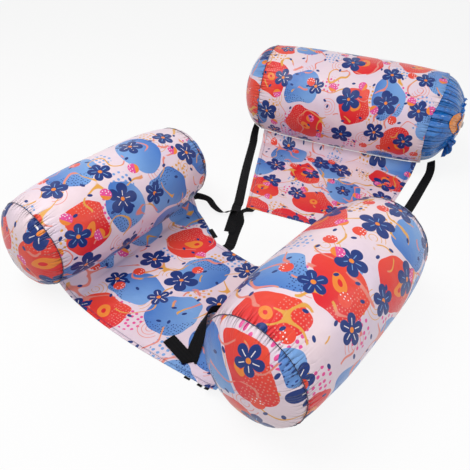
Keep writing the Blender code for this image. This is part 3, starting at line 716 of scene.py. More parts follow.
def sewn_bolster(bolster, seed, shifts, cad_ends, open_end=False):
    """Sews and blows up a bolster, with one piece for each shift of the print."""
    ring, half = bolster.ring, bolster.half
    whole, reach, on_cap = full_tube(bolster.name, bolster, ring, SWELL_ROOM,
                                     (bolster.bulge - SWELL_ROOM,) * 2)
    held = on_cap & ((reach > ring - 1e-4) | (reach < HELD_SHARE * ring))
    blow_up(whole, held)
    apply_modifier(whole, "SUBSURF", levels=1, render_levels=1, use_limit_surface=False)

    points, reach, around = polar(whole)
    beyond = np.abs(points[:, 2]) - half
    cap = beyond > 1e-4
    away = np.maximum(np.where(cap, np.maximum(ring - reach, 0) + beyond * 0.3, -beyond), 0)
    depth = np.zeros(len(points))
    for end, number in ((-1, 0), (1, 1)):
        for on, extra, length in ((cap, 0, CAP_PUCKER), (~cap, 5, SIDE_PUCKER)):
            pick = (points[:, 2] * end > 0) & on
            depth[pick] = gathers(around[pick], away[pick], ring, seed + number * 10 + extra,
                                  PUCKER_DEPTH, length)
        pick = (points[:, 2] * end > 0) & cap
        depth[pick] += gathers(around[pick], away[pick], ring, seed + 3 + number,
                               CAP_CREASE_DEPTH, CAP_CREASE_LENGTH, CAP_CREASE_WIDTH, CAP_CREASE_PITCH)
    depth += SEAM_RECESS * np.exp(-(away / SEAM_RECESS_WIDTH) ** 2)
    outward = np.zeros_like(points)
    share = np.clip(beyond / bolster.bulge, 0, 1) ** 0.7
    outward[:, :2] = points[:, :2] / np.maximum(reach, 1e-6)[:, None] * np.where(cap, 1 - share, 1)[:, None]
    outward[:, 2] = np.where(cap, np.sign(points[:, 2]) * (0.25 + share), 0)
    write_uv(whole, "edge", np.stack([around * ring, away], 1))
    move_points(whole, points - outward * depth[:, None])

    front = part_at(whole, bolster.name + "_front_disc_cloth", lambda middle: middle.z < -half)
    rear = part_at(whole, bolster.name + "_rear_disc_cloth", lambda middle: middle.z > half)
    whole.name = bolster.name + "_cover_cloth"
    if open_end:
        bpy.data.objects.remove(rear)
        open_sleeve(whole, half, ring)
    else:
        lean_foot(whole, bolster)
        lean_foot(front, bolster)
    for piece, planar, shift, end in zip((whole, front, rear), (False, True, True), shifts, cad_ends):
        lay_cloth(piece, planar, shift)
        piece.data.materials.clear()
        piece.data.materials.append(satin)
        set_down(piece, bolster.matrix, bolster.name)
        stand_for(piece, bolster.name + end)


arm_ends = ("_cover", "_front_disc", "_rear_disc")
sewn_bolster(LEFT_ARM, 11, ((0.31, 0.14), (0.83, 0.37), (0.55, 1.21)), arm_ends)
sewn_bolster(RIGHT_ARM, 41, ((1.37, 0.92), (1.71, 0.48), (2.15, 1.62)), arm_ends)
sewn_bolster(BACK, 71, ((2.63, 0.21), (2.95, 1.11)), ("_cover", "_left_disc"), open_end=True)


# Ring seams: the end discs are sewn in over a folded cloth edge, which shows as a thin dark line
# sunk between the puckers. The seam ripples with the cloth that it gathers.
PIPING_RADIUS = 0.0008
PIPING_DIP = 0.0007
THREAD_NAVY = "#131B3A"
THREAD_LIGHT = "#2A3560"

# Twisted polyester thread: matt and finely flecked where its strands turn, never a clean black line.
piping_thread, tree = new_material("navy_polyester_thread")
twist = noise(node(tree, "TexCoord", (), "Object"), 700, 1)
coat(printed(THREAD_NAVY, THREAD_LIGHT, twist * 0.7), Roughness=0.6, Normal=bump(twist, 0.6, 0.0005),
     Sheen_Weight=0.2)

for bolster, end in ((LEFT_ARM, -1), (LEFT_ARM, 1), (RIGHT_ARM, -1), (RIGHT_ARM, 1), (BACK, -1)):
    ring = new_piece(
        bolster.name + ("_front_seam" if end < 0 else "_rear_seam"), bpy.ops.mesh.primitive_torus_add,
        major_radius=bolster.ring - SEAM_RECESS, minor_radius=PIPING_RADIUS,
        major_segments=ROUND_SIDES * 3, minor_segments=8, location=(0, 0, end * bolster.half),
    )
    bpy.ops.object.transform_apply()
    points = coordinates(ring)
    around = np.arctan2(points[:, 1], points[:, 0])
    dip = np.sin(around * 37 + end) * 0.5 + np.sin(around * 61) * 0.3 + np.sin(around * 13 + 2) * 0.4
    points[:, :2] *= 1 - (np.abs(dip) * PIPING_DIP / bolster.ring)[:, None]
    points[:, 2] += dip * PIPING_DIP * 0.6
    move_points(ring, points)
    if bolster is not BACK:
        lean_foot(ring, bolster)
    ring.data.materials.append(piping_thread)
    set_down(ring, bolster.matrix, bolster.name)


# Air bladders: tubes of blue PVC film with welded round ends, one inside each cloth tube. Only the
# back's right end shows, bare past the open sleeve, drawn into deep pleats by its welded flange.
FILM_INSET = 0.006
HIDDEN_POLE = 0.2744
BACK_POLE = 0.3909
FILM_RIM_INSET = 0.0022
BARE_LENGTH = 0.060
BARE_FADE = 0.050
FLANGE_REACH = 0.082
FLANGE_HEIGHT = 0.016
FLANGE_SUNK = 0.002
FLANGE_WAVE = 0.0035
FLANGE_ROWS = 5
FLANGE_FOLD = math.radians(68)
FLANGE_SIDES = 240
BLADE_START = math.radians(102)
BLADE_END = math.radians(157)
BLADE_TAPER = math.radians(3)
BLADE_HEIGHT = 0.018
BLADE_GROWTH = 0.022
SLACK_SIDE = math.radians(128)
FILM_SLACK = 0.012
FILM_WALL = 0.0005
FILM_PLEAT = 0.0085
RAY_REACH = 0.052
RAY_DEPTH = 0.0034
FILM_BLUE = "#1470C8"
FILM_PAINTED_HIGHLIGHT = "#3F9CEC"
FILM_PAINTED_FOLD_SHADE = "#0E4F9E"

# Plasticised PVC film: wet-looking gloss with small sharp glints on every crease. Its blue is painted lighter
# in loose cloudy patches, a painted highlight, and painted deeper in the hollows of its fine creases, a
# painted shade.
pvc_film, tree = new_material("welded_blue_pvc_film")
spot = node(tree, "TexCoord", (), "Object")
creased = noise(spot, 48, 2, Distortion=1.1)
# Painted highlight: a lighter film blue in loose cloudy patches.
shade = printed(FILM_BLUE, FILM_PAINTED_HIGHLIGHT, ramp(noise(spot, 26, 3), 0.5, 0.75, 0.6))
relief = bump(edge_folds(tree, 17, 34)[0], 1, 0.008, bump(creased, 0.8, 0.0035), invert=True)
# Painted shade: a deeper blue in the hollows of the fine crease relief, which the same noise raises.
coat(printed(shade, FILM_PAINTED_FOLD_SHADE, ramp(creased, 0.42, 0.3, 0.8)), Roughness=0.07, Normal=relief, IOR=1.53,
     Specular_IOR_Level=0.5)


def film_tube(bolster, pole, rim_inset):
    """The bladder of one bolster, a little slacker than the cloth tube that holds it."""
    bulge = pole - bolster.half
    piece, _, _ = full_tube(bolster.name + "_air_tube", bolster, bolster.ring - rim_inset, FILM_INSET,
                            (min(bolster.bulge - FILM_INSET, bulge), bulge), FILM_INSET - rim_inset)
    apply_modifier(piece, "SUBSURF", levels=1, render_levels=1, use_limit_surface=False)
    _, reach, around = polar(piece)
    write_uv(piece, "edge", np.stack([around * bolster.ring, np.abs(bolster.ring - reach)], 1))
    piece.data.materials.append(pvc_film)
    stand_for(piece, bolster.name + "_bladder")
    return piece


def film_creases(around, reach):
    """Depth of the pleats in the bare end, at an angle from the top and a distance from the axis."""
    pleats = gathers(around, np.clip(BACK.ring - reach, 0, 1), BACK.ring, 5, FILM_PLEAT, 0.040, 0.0075, 0.031)
    pleats += gathers(around, np.abs(reach - FLANGE_REACH), FLANGE_REACH, 6, FILM_PLEAT, 0.026, 0.0055, 0.021)
    inner = np.clip((FLANGE_REACH - reach) / 0.02, 0, 1)
    rays = gathers(around, np.abs(reach - RAY_REACH), RAY_REACH, 8, RAY_DEPTH, 0.018, 0.0045, 0.017)
    slack = FILM_SLACK * np.exp(-((around - SLACK_SIDE) / 0.6) ** 2) * np.clip((reach - 0.06) / 0.05, 0, 1)
    return slack + (pleats * (1 - inner) + rays * inner) * np.clip((reach - 0.016) / 0.012, 0, 1)


def film_level(reach):
    """How far along the axis the bare end stands at a distance from it, without its creases."""
    return BACK.half + dome(reach, BACK.ring - FILM_RIM_INSET, BACK_POLE - BACK.half)


def film_strip(name, sides, rows, radius):
    """A ring of film as a short tube: its points, their angle from the top, and their share outward."""
    piece = new_piece(name, bpy.ops.mesh.primitive_circle_add, vertices=sides, radius=radius)
    bpy.ops.object.mode_set(mode="EDIT")
    for _ in range(rows):
        bpy.ops.mesh.extrude_edges_move(TRANSFORM_OT_translate={"value": (0, 0, 1 / rows)})
    bpy.ops.object.mode_set(mode="OBJECT")
    points, _, around = polar(piece)
    return piece, around, points[:, 2]


for bolster in (LEFT_ARM, RIGHT_ARM):
    set_down(film_tube(bolster, HIDDEN_POLE, FILM_INSET), bolster.matrix, bolster.name)

bare = film_tube(BACK, BACK_POLE, FILM_RIM_INSET)
points, reach, around = polar(bare)
bare_end = np.clip((points[:, 2] - BACK.half + BARE_LENGTH) / BARE_FADE, 0, 1)
outward = points.copy()
outward[:, 2] = np.clip(points[:, 2] - BACK.half, 0, 1) * 2
outward /= np.linalg.norm(outward, axis=1, keepdims=True) + 1e-9
move_points(bare, points - outward * (film_creases(around, reach) * bare_end)[:, None])
set_down(bare, BACK.matrix, "back")

# The flange: the weld's flat edge, pulled into waves and teeth, with one stretch that stands out
# past the rest like a blade.
flange, around, rise = film_strip("back_film_flange", FLANGE_SIDES, FLANGE_ROWS, FLANGE_REACH)
chance = np.random.RandomState(9)
waves = sum(np.sin(around * k + chance.uniform(0, 6.3)) * chance.uniform(0.4, 1) for k in (7, 12, 19, 31)) / 2
teeth = sum(np.abs(np.sin(around * k + chance.uniform(0, 6.3))) for k in (4, 9, 14)) / 3
facing = (1 + np.cos(around - FLANGE_FOLD)) / 2
blade = np.clip((around - BLADE_START) / BLADE_TAPER, 0, 1)
blade *= np.clip((BLADE_END - around) / BLADE_TAPER, 0, 1)
along = np.clip((around - BLADE_START) / (BLADE_END - BLADE_START), 0, 1)
waves *= 1 - blade
foot = film_level(FLANGE_REACH) - film_creases(around, np.full(len(around), FLANGE_REACH)) - FLANGE_SUNK
tall = (FLANGE_HEIGHT + FLANGE_SUNK) * (1 - 0.4 * facing) * (1 - 0.5 * teeth) * (1 - blade)
tall += (BLADE_HEIGHT + BLADE_GROWTH * along) * blade
lean = (0.35 + 0.2 * facing) * (1 - blade) + waves * 0.35 + (0.3 + 1.4 * along) * blade
reach = FLANGE_REACH + rise * tall * np.sin(lean) + rise * rise * waves * FLANGE_WAVE
move_points(flange, np.stack([
    np.sin(around) * reach, -np.cos(around) * reach, foot + rise * tall * np.cos(lean)], 1))
write_uv(flange, "edge", np.stack([around * FLANGE_REACH, 0.004 + rise * 0.02], 1))
apply_modifier(flange, "SOLIDIFY", thickness=FILM_WALL, offset=0)
flange.data.materials.append(pvc_film)
set_down(flange, BACK.matrix, "back")


# The valve's reinforcing patch: a round of orange PVC film welded over the middle of the bare end.
# It runs out in a lobe down the front of the end, and it puckers with the blue film under it.
PATCH_SIDES = 160
PATCH_ROWS = 30
PATCH_REACH = 0.042
PATCH_DRIFT = 0.094
PATCH_LOBE = 0.47
PATCH_HOLE = 0.0083
PATCH_LIFT = 0.0011
PATCH_WALL = 0.0006
PATCH_ORANGE = "#F7952B"
PATCH_PAINTED_CREASE_SHADE = "#E67420"

# Thicker PVC film: duller than the blue, with painted shade as soft darker lines in the hollows of its
# creases.
orange_film, tree = new_material("welded_orange_pvc_film")
creased = noise(node(tree, "TexCoord", (), "Object"), 110, 3, Roughness=0.6, Distortion=0.8)
relief = bump(edge_folds(tree, 13, 34)[0], 1, 0.004, bump(creased, 0.6, 0.0015), invert=True)
# Painted shade: a deeper orange in the hollows of the crease relief, which the same noise raises.
coat(printed(PATCH_ORANGE, PATCH_PAINTED_CREASE_SHADE, ramp(creased, 0.55, 0.35, 0.8)), Roughness=0.2, Normal=relief,
     IOR=1.53)

patch, around, share = film_strip("back_valve_patch", PATCH_SIDES, PATCH_ROWS, PATCH_HOLE)
edge = PATCH_REACH + PATCH_DRIFT * np.exp(-np.abs((around - FLANGE_FOLD) / PATCH_LOBE) ** 2.6)
edge += 0.0024 * np.sin(around * 3 + 1) + 0.0016 * np.sin(around * 8) + 0.001 * np.sin(around * 15 + 2)
reach = PATCH_HOLE + (edge - PATCH_HOLE) * share
level = film_level(reach) + PATCH_LIFT - film_creases(around, reach)
move_points(patch, np.stack([np.sin(around) * reach, -np.cos(around) * reach, level], 1))
write_uv(patch, "edge", np.stack([around * BACK.ring, BACK.ring - reach], 1))
select_only(patch)
bpy.ops.object.mode_set(mode="EDIT")
bpy.ops.mesh.select_all(action="SELECT")
bpy.ops.mesh.normals_make_consistent(inside=False)
bpy.ops.object.mode_set(mode="OBJECT")
apply_modifier(patch, "SOLIDIFY", thickness=PATCH_WALL)
patch.data.materials.append(orange_film)
set_down(patch, BACK.matrix, "back")
stand_for(patch, "back_end_patch")


# The seat: one panel of the same cloth, lined, sewn to both armrests a little up their sides. Its
# front edge has a turned hem, and its rear edge is cut as a shallow notch.
PANEL_WALL = 0.002
BORDER_COLUMNS = 4
FLAT_COLUMNS = 10
SEAT_COLUMNS = 18
NOTCH_DEPTH = 0.1325
NOTCH_FLAT_SHARE = 0.32
NOTCH_SKEW = 0.070
FRONT_REACH = 0.033
FRONT_CURVE = 2.6
BORDER_CURVE = 1.5
BORDER_SPREAD = 1.6
BORDER_PLAN = 0.12
ARM_SPAN = 0.483
SEAT_FINE_ACROSS = 180
SEAT_FINE_ALONG = 120
SEAT_LIFT = 0.0012
SLACK_RISE = 0.0009
CLOTH_WALL = 0.0013
HEM_WIDTH = 0.011
HEM_RISE = 0.0007
HEM_PUCKER = 0.0006
HEM_GROOVE = 0.0006
HEM_WAVES = (0.0083, 0.0131, 0.029)


def border_point(bolster, axial, climb):
    """Point on the seat's turned-up border: climb 0 is its foot on the floor, 1 is its seam."""
    seam = bolster.seam(axial)
    rise = seam.z - PANEL_WALL / 2
    foot = seam + bolster.place(0, rise * BORDER_SPREAD, 0) - bolster.place(0, 0, 0)
    point = foot.lerp(seam, climb)
    point.z = PANEL_WALL / 2 + rise * climb ** BORDER_CURVE
    return point


def seat_point(across, along):
    """Point of the seat's middle surface, with shares from left to right and front to rear."""
    column = across * SEAT_COLUMNS
    flat = min(max((column - BORDER_COLUMNS) / FLAT_COLUMNS, 0), 1)
    left_climb = max(1 - column / BORDER_COLUMNS, 0)
    right_climb = max(1 - (SEAT_COLUMNS - column) / BORDER_COLUMNS, 0)
    plan = abs(flat - 0.5) + BORDER_PLAN * max(left_climb, right_climb)
    slant = max((plan - NOTCH_FLAT_SHARE / 2) / (0.5 + BORDER_PLAN - NOTCH_FLAT_SHARE / 2), 0)
    depth = NOTCH_DEPTH + NOTCH_SKEW * (flat - 0.5)
    rear_reach = 1 - (1 - slant) * depth / ARM_SPAN
    front_reach = FRONT_REACH * (1 - (1 - flat) ** FRONT_CURVE) * (1 - along) ** 2
    axial = (along * rear_reach - 0.5) * ARM_SPAN - front_reach
    return border_point(LEFT_ARM, axial, left_climb).lerp(border_point(RIGHT_ARM, axial, right_climb), flat)


def share_grid(name, columns, rows):
    """A flat grid, and the share across and along it of each of its points."""
    piece = new_piece(name, bpy.ops.mesh.primitive_grid_add, x_subdivisions=columns, y_subdivisions=rows,
                      size=1)
    return piece, coordinates(piece) + 0.5


def panel_mesh(name, columns, rows, place):
    """A fine grid laid over a cloth panel: place gives the point for each share across and along."""
    piece, shares = share_grid(name, columns, rows)
    move_points(piece, [place(float(across), float(along)) for across, along, _ in shares])
    return piece, coordinates(piece), shares


def lay_panel(piece, shares, shift):
    """Lays the flat cut on a panel, in metres, by the cloth's own length across from its middle."""
    points = coordinates(piece)
    rows = np.round(shares[:, 1] * 1e5).astype(int)
    flat = np.zeros((len(points), 2))
    for row in np.unique(rows):
        pick = np.nonzero(rows == row)[0]
        pick = pick[np.argsort(shares[pick, 0])]
        steps = np.linalg.norm(np.diff(points[pick], axis=0), axis=1)
        length = np.concatenate([[0], np.cumsum(steps)])
        flat[pick, 0] = length - length[-1] / 2
        flat[pick, 1] = points[pick, 1]
    write_uv(piece, "cloth", flat + np.array(shift))
    return float(np.ptp(flat[:, 0]))


def hemmed(from_edge, along_edge, seed):
    """Raises the doubled cloth of a hem, sinks its stitch line and puckers it."""
    inside = 1 / (1 + np.exp((from_edge - HEM_WIDTH) / 0.0007))
    stitch = np.exp(-((from_edge - HEM_WIDTH + 0.002) / 0.0011) ** 2)
    waves = (np.sin(along_edge * math.tau / step + seed * step * 900) for step in HEM_WAVES)
    ripple = sum(waves) / len(HEM_WAVES)
    return inside * HEM_RISE - stitch * HEM_GROOVE + ripple * HEM_PUCKER * np.exp(-from_edge / 0.012)


def finish_panel(piece, points, shares, rise, edge, fade, body, cad_name):
    """Slackens a panel's middle, lines it with a second cloth and sets it down on its body."""
    write_uv(piece, "edge", np.stack(edge, 1))
    inner = shares * (1 - shares)
    middle = np.clip(inner[:, 0] * 8, 0, 1) * np.clip(inner[:, 1] * fade, 0, 1)
    hems, slack, lift = rise
    points[:, 2] += hems + (slack * SLACK_RISE + lift) * middle
    move_points(piece, points)
    apply_modifier(piece, "SOLIDIFY", thickness=CLOTH_WALL, offset=0)
    piece.data.materials.append(hemmed_satin)
    set_down(piece, Matrix.Identity(4), body)
    stand_for(piece, cad_name)


seat, points, shares = panel_mesh("seat_cloth", SEAT_FINE_ACROSS, SEAT_FINE_ALONG, seat_point)
seat_wide = lay_panel(seat, shares, (4.13, 0.35))
x, y, _ = points.T
from_front = shares[:, 1] * ARM_SPAN
from_rear = (1 - shares[:, 1]) * (ARM_SPAN - NOTCH_DEPTH)
slack = np.sin(x * 31 + y * 11 + 1) + np.sin(x * 17 - y * 29) + 0.7 * np.sin(x * 55 + y * 38 + 2)
finish_panel(seat, points, shares, (hemmed(from_front, x, 1) + hemmed(from_rear, x, 2), slack, SEAT_LIFT),
             (x, np.minimum(from_front, from_rear)), 10, "seat", "seat_panel")


# The back panel: a trapezium of the same lined cloth, hemmed on three sides and sewn to the back
# bolster a little way up. It lies on the floor, from the bolster to the hinge line.
PANEL_DROP = 0.5545
PANEL_FOOT_HALF = 0.192
PANEL_HEAD_HALF = 0.288
PANEL_FINE_ACROSS = 150
PANEL_FINE_ALONG = 120
PANEL_LONG = 0.42
PANEL_LIFT = 0.0010
HINGE_CLEARANCE = 0.0003
SEAM_DROP = (BACK.radius + 0.0008) * math.sin(BACK.seam_angle)


def panel_half(drop):
    """Half width of the back panel at a distance in front of the bolster's axis."""
    widening = (PANEL_FOOT_HALF - PANEL_HEAD_HALF) * (drop - SEAM_DROP) / (PANEL_DROP - SEAM_DROP)
    return PANEL_HEAD_HALF + widening


def back_point(across, along):
    """Point of the back panel's middle surface, from its foot at the hinge line to its sewn head."""
    side = 2 * across - 1
    seam = BACK.seam(side * PANEL_HEAD_HALF)
    rise = seam.z - PANEL_WALL / 2
    foot_drop = SEAM_DROP + rise
    if along >= 2 / 3:
        climb = along * 3 - 2
        point = BACK.place(side * panel_half(foot_drop), foot_drop, 0).lerp(seam, climb)
        point.z = PANEL_WALL / 2 + rise * climb ** BORDER_CURVE
        return point
    lower_edge = PANEL_DROP - HINGE_CLEARANCE
    drop = lower_edge + (foot_drop - lower_edge) * along * 1.5
    return BACK.place(side * panel_half(drop), drop, PANEL_WALL / 2)


panel, points, shares = panel_mesh("back_cloth", PANEL_FINE_ACROSS, PANEL_FINE_ALONG, back_point)
lay_panel(panel, shares, (5.21, 1.13))
x, y, _ = points.T
from_side = np.minimum(shares[:, 0], 1 - shares[:, 0]) * 2 * PANEL_FOOT_HALF
from_foot = shares[:, 1] * PANEL_LONG
slack = np.sin(x * 27 + y * 14) + np.sin(x * 15 - y * 33 + 1)
finish_panel(panel, points, shares, (hemmed(from_side, y, 3) + hemmed(from_foot, x, 4), slack, PANEL_LIFT),
             (np.where(from_side < from_foot, y, x), np.minimum(from_side, from_foot)), 8,
             "back", "back_panel")


# The harness's webbing: black polypropylene 30 mm wide and 1.2 mm thick, woven in a fine rib, with
# sealed ends. It is sewn on with a box of stitches at each place where it carries load.
WEB_WALL = 0.0012
WEB_WIDTH = 0.030
WEB_COLUMNS = 6
SEAM_GAP = 0.0003
GRIP_WALL = 0.0008
RIB_STEP = 1.7
RIB_SLANT = 3.75
BOX_STITCH = 14
HOOK_STEP = 1.6
WEB_THREAD = "#2B2B30"
HOOK_BLACK = "#0B0B0D"
WEB_BLACK = "#060608"
WEB_RIB_PAINTED_HIGHLIGHT = "#101013"

# Woven polypropylene: a dull, nearly black band whose slanting ribs and box stitches only just
# catch the light. The rib crests are painted lighter, a painted highlight.
webbing, tree = new_material("woven_black_polypropylene")
axes = node(tree, "SeparateXYZ", {0: flat_place(tree, "cloth")})
slant = calculate("PINGPONG", axes[0], RIB_SLANT)
ribs = calculate("SINE", (axes[1] + slant) * (math.tau / RIB_STEP))
box = abs(abs(axes[1] - BOX_STITCH) - BOX_STITCH * 0.6)
box = crisp(0.5 - box) * crisp(BOX_STITCH * 0.2 - calculate("PINGPONG", axes[0], BOX_STITCH * 0.17))
# Painted highlight: the rib crests are lighter than the black band.
shade = printed(printed(WEB_BLACK, WEB_RIB_PAINTED_HIGHLIGHT, ramp(ribs, -0.2, 1.0, 0.55)), WEB_THREAD, box)
coat(shade, Roughness=0.65, Normal=bump(box, 0.6, 0.0006, bump(ribs, 0.5, 0.0004)), Specular_IOR_Level=0.12)

# Hook-and-loop tape: the same black, but quite dull, with a fine speckle of hooks.
hook_tape, tree = new_material("woven_hook_and_loop_tape")
hook = crisp(HOOK_STEP * 0.32 - scatter(flat_place(tree, "cloth"), HOOK_STEP, 4, 0.4)[2], 0.3)
coat(printed(HOOK_BLACK, WEB_THREAD, hook * 0.8), Roughness=0.85, Normal=bump(hook, 0.8, 0.0006),
     Specular_IOR_Level=0.1)


def smooth_route(stations, share):
    """Point and direction at a share of the way on a curve through stations of (x, y, z, lean)."""
    gaps = [(b - a).to_3d().length for a, b in zip(stations, stations[1:])]
    left_over = share * sum(gaps)
    start = 0
    while start < len(gaps) - 1 and left_over > gaps[start]:
        left_over -= gaps[start]
        start += 1
    span = gaps[start]
    t = min(left_over / span, 1)
    here, there = stations[start], stations[start + 1]
    leave = arrive = there - here
    if start > 0:
        leave = (there - stations[start - 1]) * span / (span + gaps[start - 1])
    if start < len(gaps) - 1:
        arrive = (stations[start + 2] - here) * span / (span + gaps[start + 1])
    bend = 3 * (there - here) - 2 * leave - arrive
    turn = leave + arrive - 2 * (there - here)
    point = here + leave * t + bend * t * t + turn * t * t * t
    return point, (leave + 2 * bend * t + 3 * turn * t * t).to_3d().normalized()


def band_side(run, lean):
    """Direction across a band: level, or turned about the band's run by its lean."""
    return Matrix.Rotation(lean, 3, run) @ run.cross(Vector((0, 0, 1))).normalized()


def floor_level(layer):
    """Middle height of a band on the floor, or of one laid over another."""
    return SEAM_GAP + WEB_WALL / 2 + layer * (WEB_WALL + GRIP_WALL + 2 * SEAM_GAP)


def woven(name, pairs, body, cad_name, wall=WEB_WALL, finish=webbing):
    """A band of webbing through pairs of edge points, with rounded selvedges and its own weave lines."""
    piece, shares = share_grid(name, WEB_COLUMNS, len(pairs) - 1)
    rows = np.round(shares[:, 1] * (len(pairs) - 1)).astype(int)
    low = np.array([pair[0] for pair in pairs])
    high = np.array([pair[1] for pair in pairs])
    across = shares[:, 0]
    steps = np.linalg.norm(np.diff((low + high) / 2, axis=0), axis=1)
    length = np.concatenate([[0], np.cumsum(steps)])
    wide = float(np.median(np.linalg.norm(high - low, axis=1)))
    move_points(piece, low[rows] + (high - low)[rows] * across[:, None])
    write_uv(piece, "cloth", np.stack([across * wide, length[rows]], 1))
    apply_modifier(piece, "SOLIDIFY", thickness=wall, offset=0, use_even_offset=True)
    apply_modifier(piece, "BEVEL", width=wall * 0.3, segments=2, limit_method="ANGLE")
    piece.data.materials.append(finish)
    set_down(piece, Matrix.Identity(4), body)
    bpy.ops.object.shade_smooth_by_angle(angle=math.radians(40))
    stand_for(piece, cad_name)


def strap(name, stations, width, body, cad_name, rows=90):
    """A strap laid through stations, which never goes under the floor."""
    stations = [Vector(station) for station in stations]
    pairs = []
    for row in range(rows + 1):
        here, run = smooth_route(stations, row / rows)
        ends = [here.to_3d() + band_side(run, here.w) * side * width / 2 for side in (-1, 1)]
        for end in ends:
            end.z = max(end.z, floor_level(0))
        pairs.append(ends)
    woven(name, pairs, body, cad_name)


def back_floor(axial, drop, layer=0):
    """A station on the floor in front of the back bolster's axis."""
    return (*BACK.place(axial, drop, floor_level(layer)), 0.0)


# Recline straps: one length of webbing on each side, sewn to the back bolster's ring seam low on its
# front, which comes down to the floor and runs beside the panel to the hinge line.
STRAP_SPACING = 0.035
LEFT_HEAD_REACH = 0.0205
LEFT_HEAD_INSET = 0.0085
RIGHT_HEAD_REACH = 0.0322
RIGHT_HEAD_INSET = 0.014
LEFT_FOOT_INSET = 0.0065
LEFT_BOW = 0.003
RIGHT_BOW = 0.012
STRAP_HEAD_ANGLE = math.radians(32)
STRAP_HEAD_LEAN = math.radians(52)
STRAP_MIDWAY_LEAN = math.radians(29)
STRAP_LANDING = 0.075
STRAP_SQUARE = 0.007

for side, sign, inset, bow, head_reach, head_inset in (
    ("left", -1, LEFT_FOOT_INSET, LEFT_BOW, LEFT_HEAD_REACH, LEFT_HEAD_INSET),
    ("right", 1, 0, RIGHT_BOW, RIGHT_HEAD_REACH, RIGHT_HEAD_INSET),
):
    foot = sign * (PANEL_FOOT_HALF + STRAP_SPACING - inset)
    head_axial = sign * (BACK.half + head_reach)
    reach = BACK.ring - head_inset
    top = BACK.on_rim(head_axial, reach, STRAP_HEAD_ANGLE)
    head_drop = reach * math.sin(STRAP_HEAD_ANGLE)
    landing = head_drop + STRAP_LANDING
    spread = (abs(head_axial) - abs(foot)) / (PANEL_DROP - head_drop)
    middle = (landing + PANEL_DROP) / 2
    at_landing, at_middle = (foot + sign * (spread * (PANEL_DROP - drop) + bow) for drop in (landing, middle))
    at_square = foot + sign * spread * STRAP_SQUARE
    halfway = top.lerp(Vector(back_floor(at_landing, landing)[:3]), 0.5)
    halfway += (BACK.place(1, 0, 0) - BACK.place(0, 0, 0)) * sign * bow / 2
    strap(side + "_recline_webbing", [
        (*top, sign * STRAP_HEAD_LEAN),
        (*halfway, sign * STRAP_MIDWAY_LEAN),
        back_floor(at_landing, landing),
        back_floor(at_middle, middle),
        back_floor(at_square, PANEL_DROP - 2 * STRAP_SQUARE),
        back_floor(foot, PANEL_DROP - HINGE_CLEARANCE),
    ], WEB_WIDTH, "back", side + "_recline_strap")


# Link straps: webbing from the seat's rear edge to the back panel's lower corners. The left one is
# turned over once on its way. The right one is lapped on the seat.
LINK_LEAD = 0.024
LEFT_LINK_PLACE = 0.456
RIGHT_LINK_PLACE = 0.65
LINK_LAP = 0.042
LINK_TWIST = (
    (-0.179, 0.690, 0.0009, 0), (-0.1845, 0.640, 0.0012, 0.0), (-0.1875, 0.612, 0.010, 1.0),
    (-0.1845, 0.597, 0.0135, 1.75), (-0.179, 0.580, 0.0055, 2.8),
)
ON_SEAT = PANEL_WALL + 0.0012


def rear_edge(across, off, width):
    """Point off the middle of a stretch of the seat's rear edge, and the direction away from it."""
    edge = [seat_point(column / SEAT_COLUMNS, 1).to_2d() for column in range(SEAT_COLUMNS + 1)]
    half = width / 2 / (edge[-1] - edge[0]).length * SEAT_COLUMNS
    ends = (across * SEAT_COLUMNS - half, across * SEAT_COLUMNS + half)
    near, far = (edge[int(end)].lerp(edge[int(end) + 1], end % 1) for end in ends)
    run = (far - near).normalized()
    away = Vector((-run.y, run.x))
    between = edge[math.ceil(ends[0]):math.ceil(ends[1])]
    clear = max([0] + [(corner - near).dot(away) for corner in between])
    return near.lerp(far, 0.5) + away * (clear + off), away


def panel_corner(sign, past):
    """Where a link strap's middle is, on the floor, past the back panel's lower corner."""
    return BACK.place(sign * (PANEL_FOOT_HALF - WEB_WIDTH / 2), PANEL_DROP + past, 0).to_2d()


low = floor_level(0)
start, away = rear_edge(LEFT_LINK_PLACE, SEAM_GAP, WEB_WIDTH)
left_link = [Vector((*start, low, 0)), Vector((*(start + away * LINK_LEAD / 2), low, 0))]
left_link += [Vector((*BACK.place(axial, drop, level), lean)) for axial, drop, level, lean in LINK_TWIST]
left_link.append(Vector((*panel_corner(-1, HINGE_CLEARANCE), low, math.pi)))
strap("left_link_webbing", left_link, WEB_WIDTH, "seat", "left_link_strap")

start, away = rear_edge(RIGHT_LINK_PLACE, SEAM_GAP, WEB_WIDTH)
lead = panel_corner(1, LINK_LEAD)
towards = (lead - start).normalized()
right_link = [Vector((*spot, level, 0)) for spot, level in (
    (start - towards * LINK_LAP, low + ON_SEAT), (start + towards * LINK_LAP, low + ON_SEAT),
    (start + towards * (LINK_LAP + LINK_LEAD), low), (lead, low), (panel_corner(1, HINGE_CLEARANCE), low),
)]
strap("right_link_webbing", right_link, WEB_WIDTH, "seat", "right_link_strap")


# Loose ends: the recline straps' lengths past the hinge line, lying slantwise over the link straps,
# each held by a short hook-and-loop grip under it, which sets how far the back leans.
STRAP_LEAD = 0.016
STRAP_RISE_SHARE = 0.55
STRAP_TAIL = 0.014
TAPE_ROWS = 8
TAPE_LENGTH = 0.040
GRIP_HALF = 0.009


def short_band(name, middle, run, across, half, level, cad_name, **more):
    """A short straight band on the seat or the floor, from its middle and its two directions."""
    pairs = []
    for row in range(TAPE_ROWS + 1):
        spot = middle + run * (row / TAPE_ROWS - 0.5) * TAPE_LENGTH
        pairs.append([Vector((*(spot + across * side * half), level)) for side in (-1, 1)])
    woven(name, pairs, "seat", cad_name, **more)


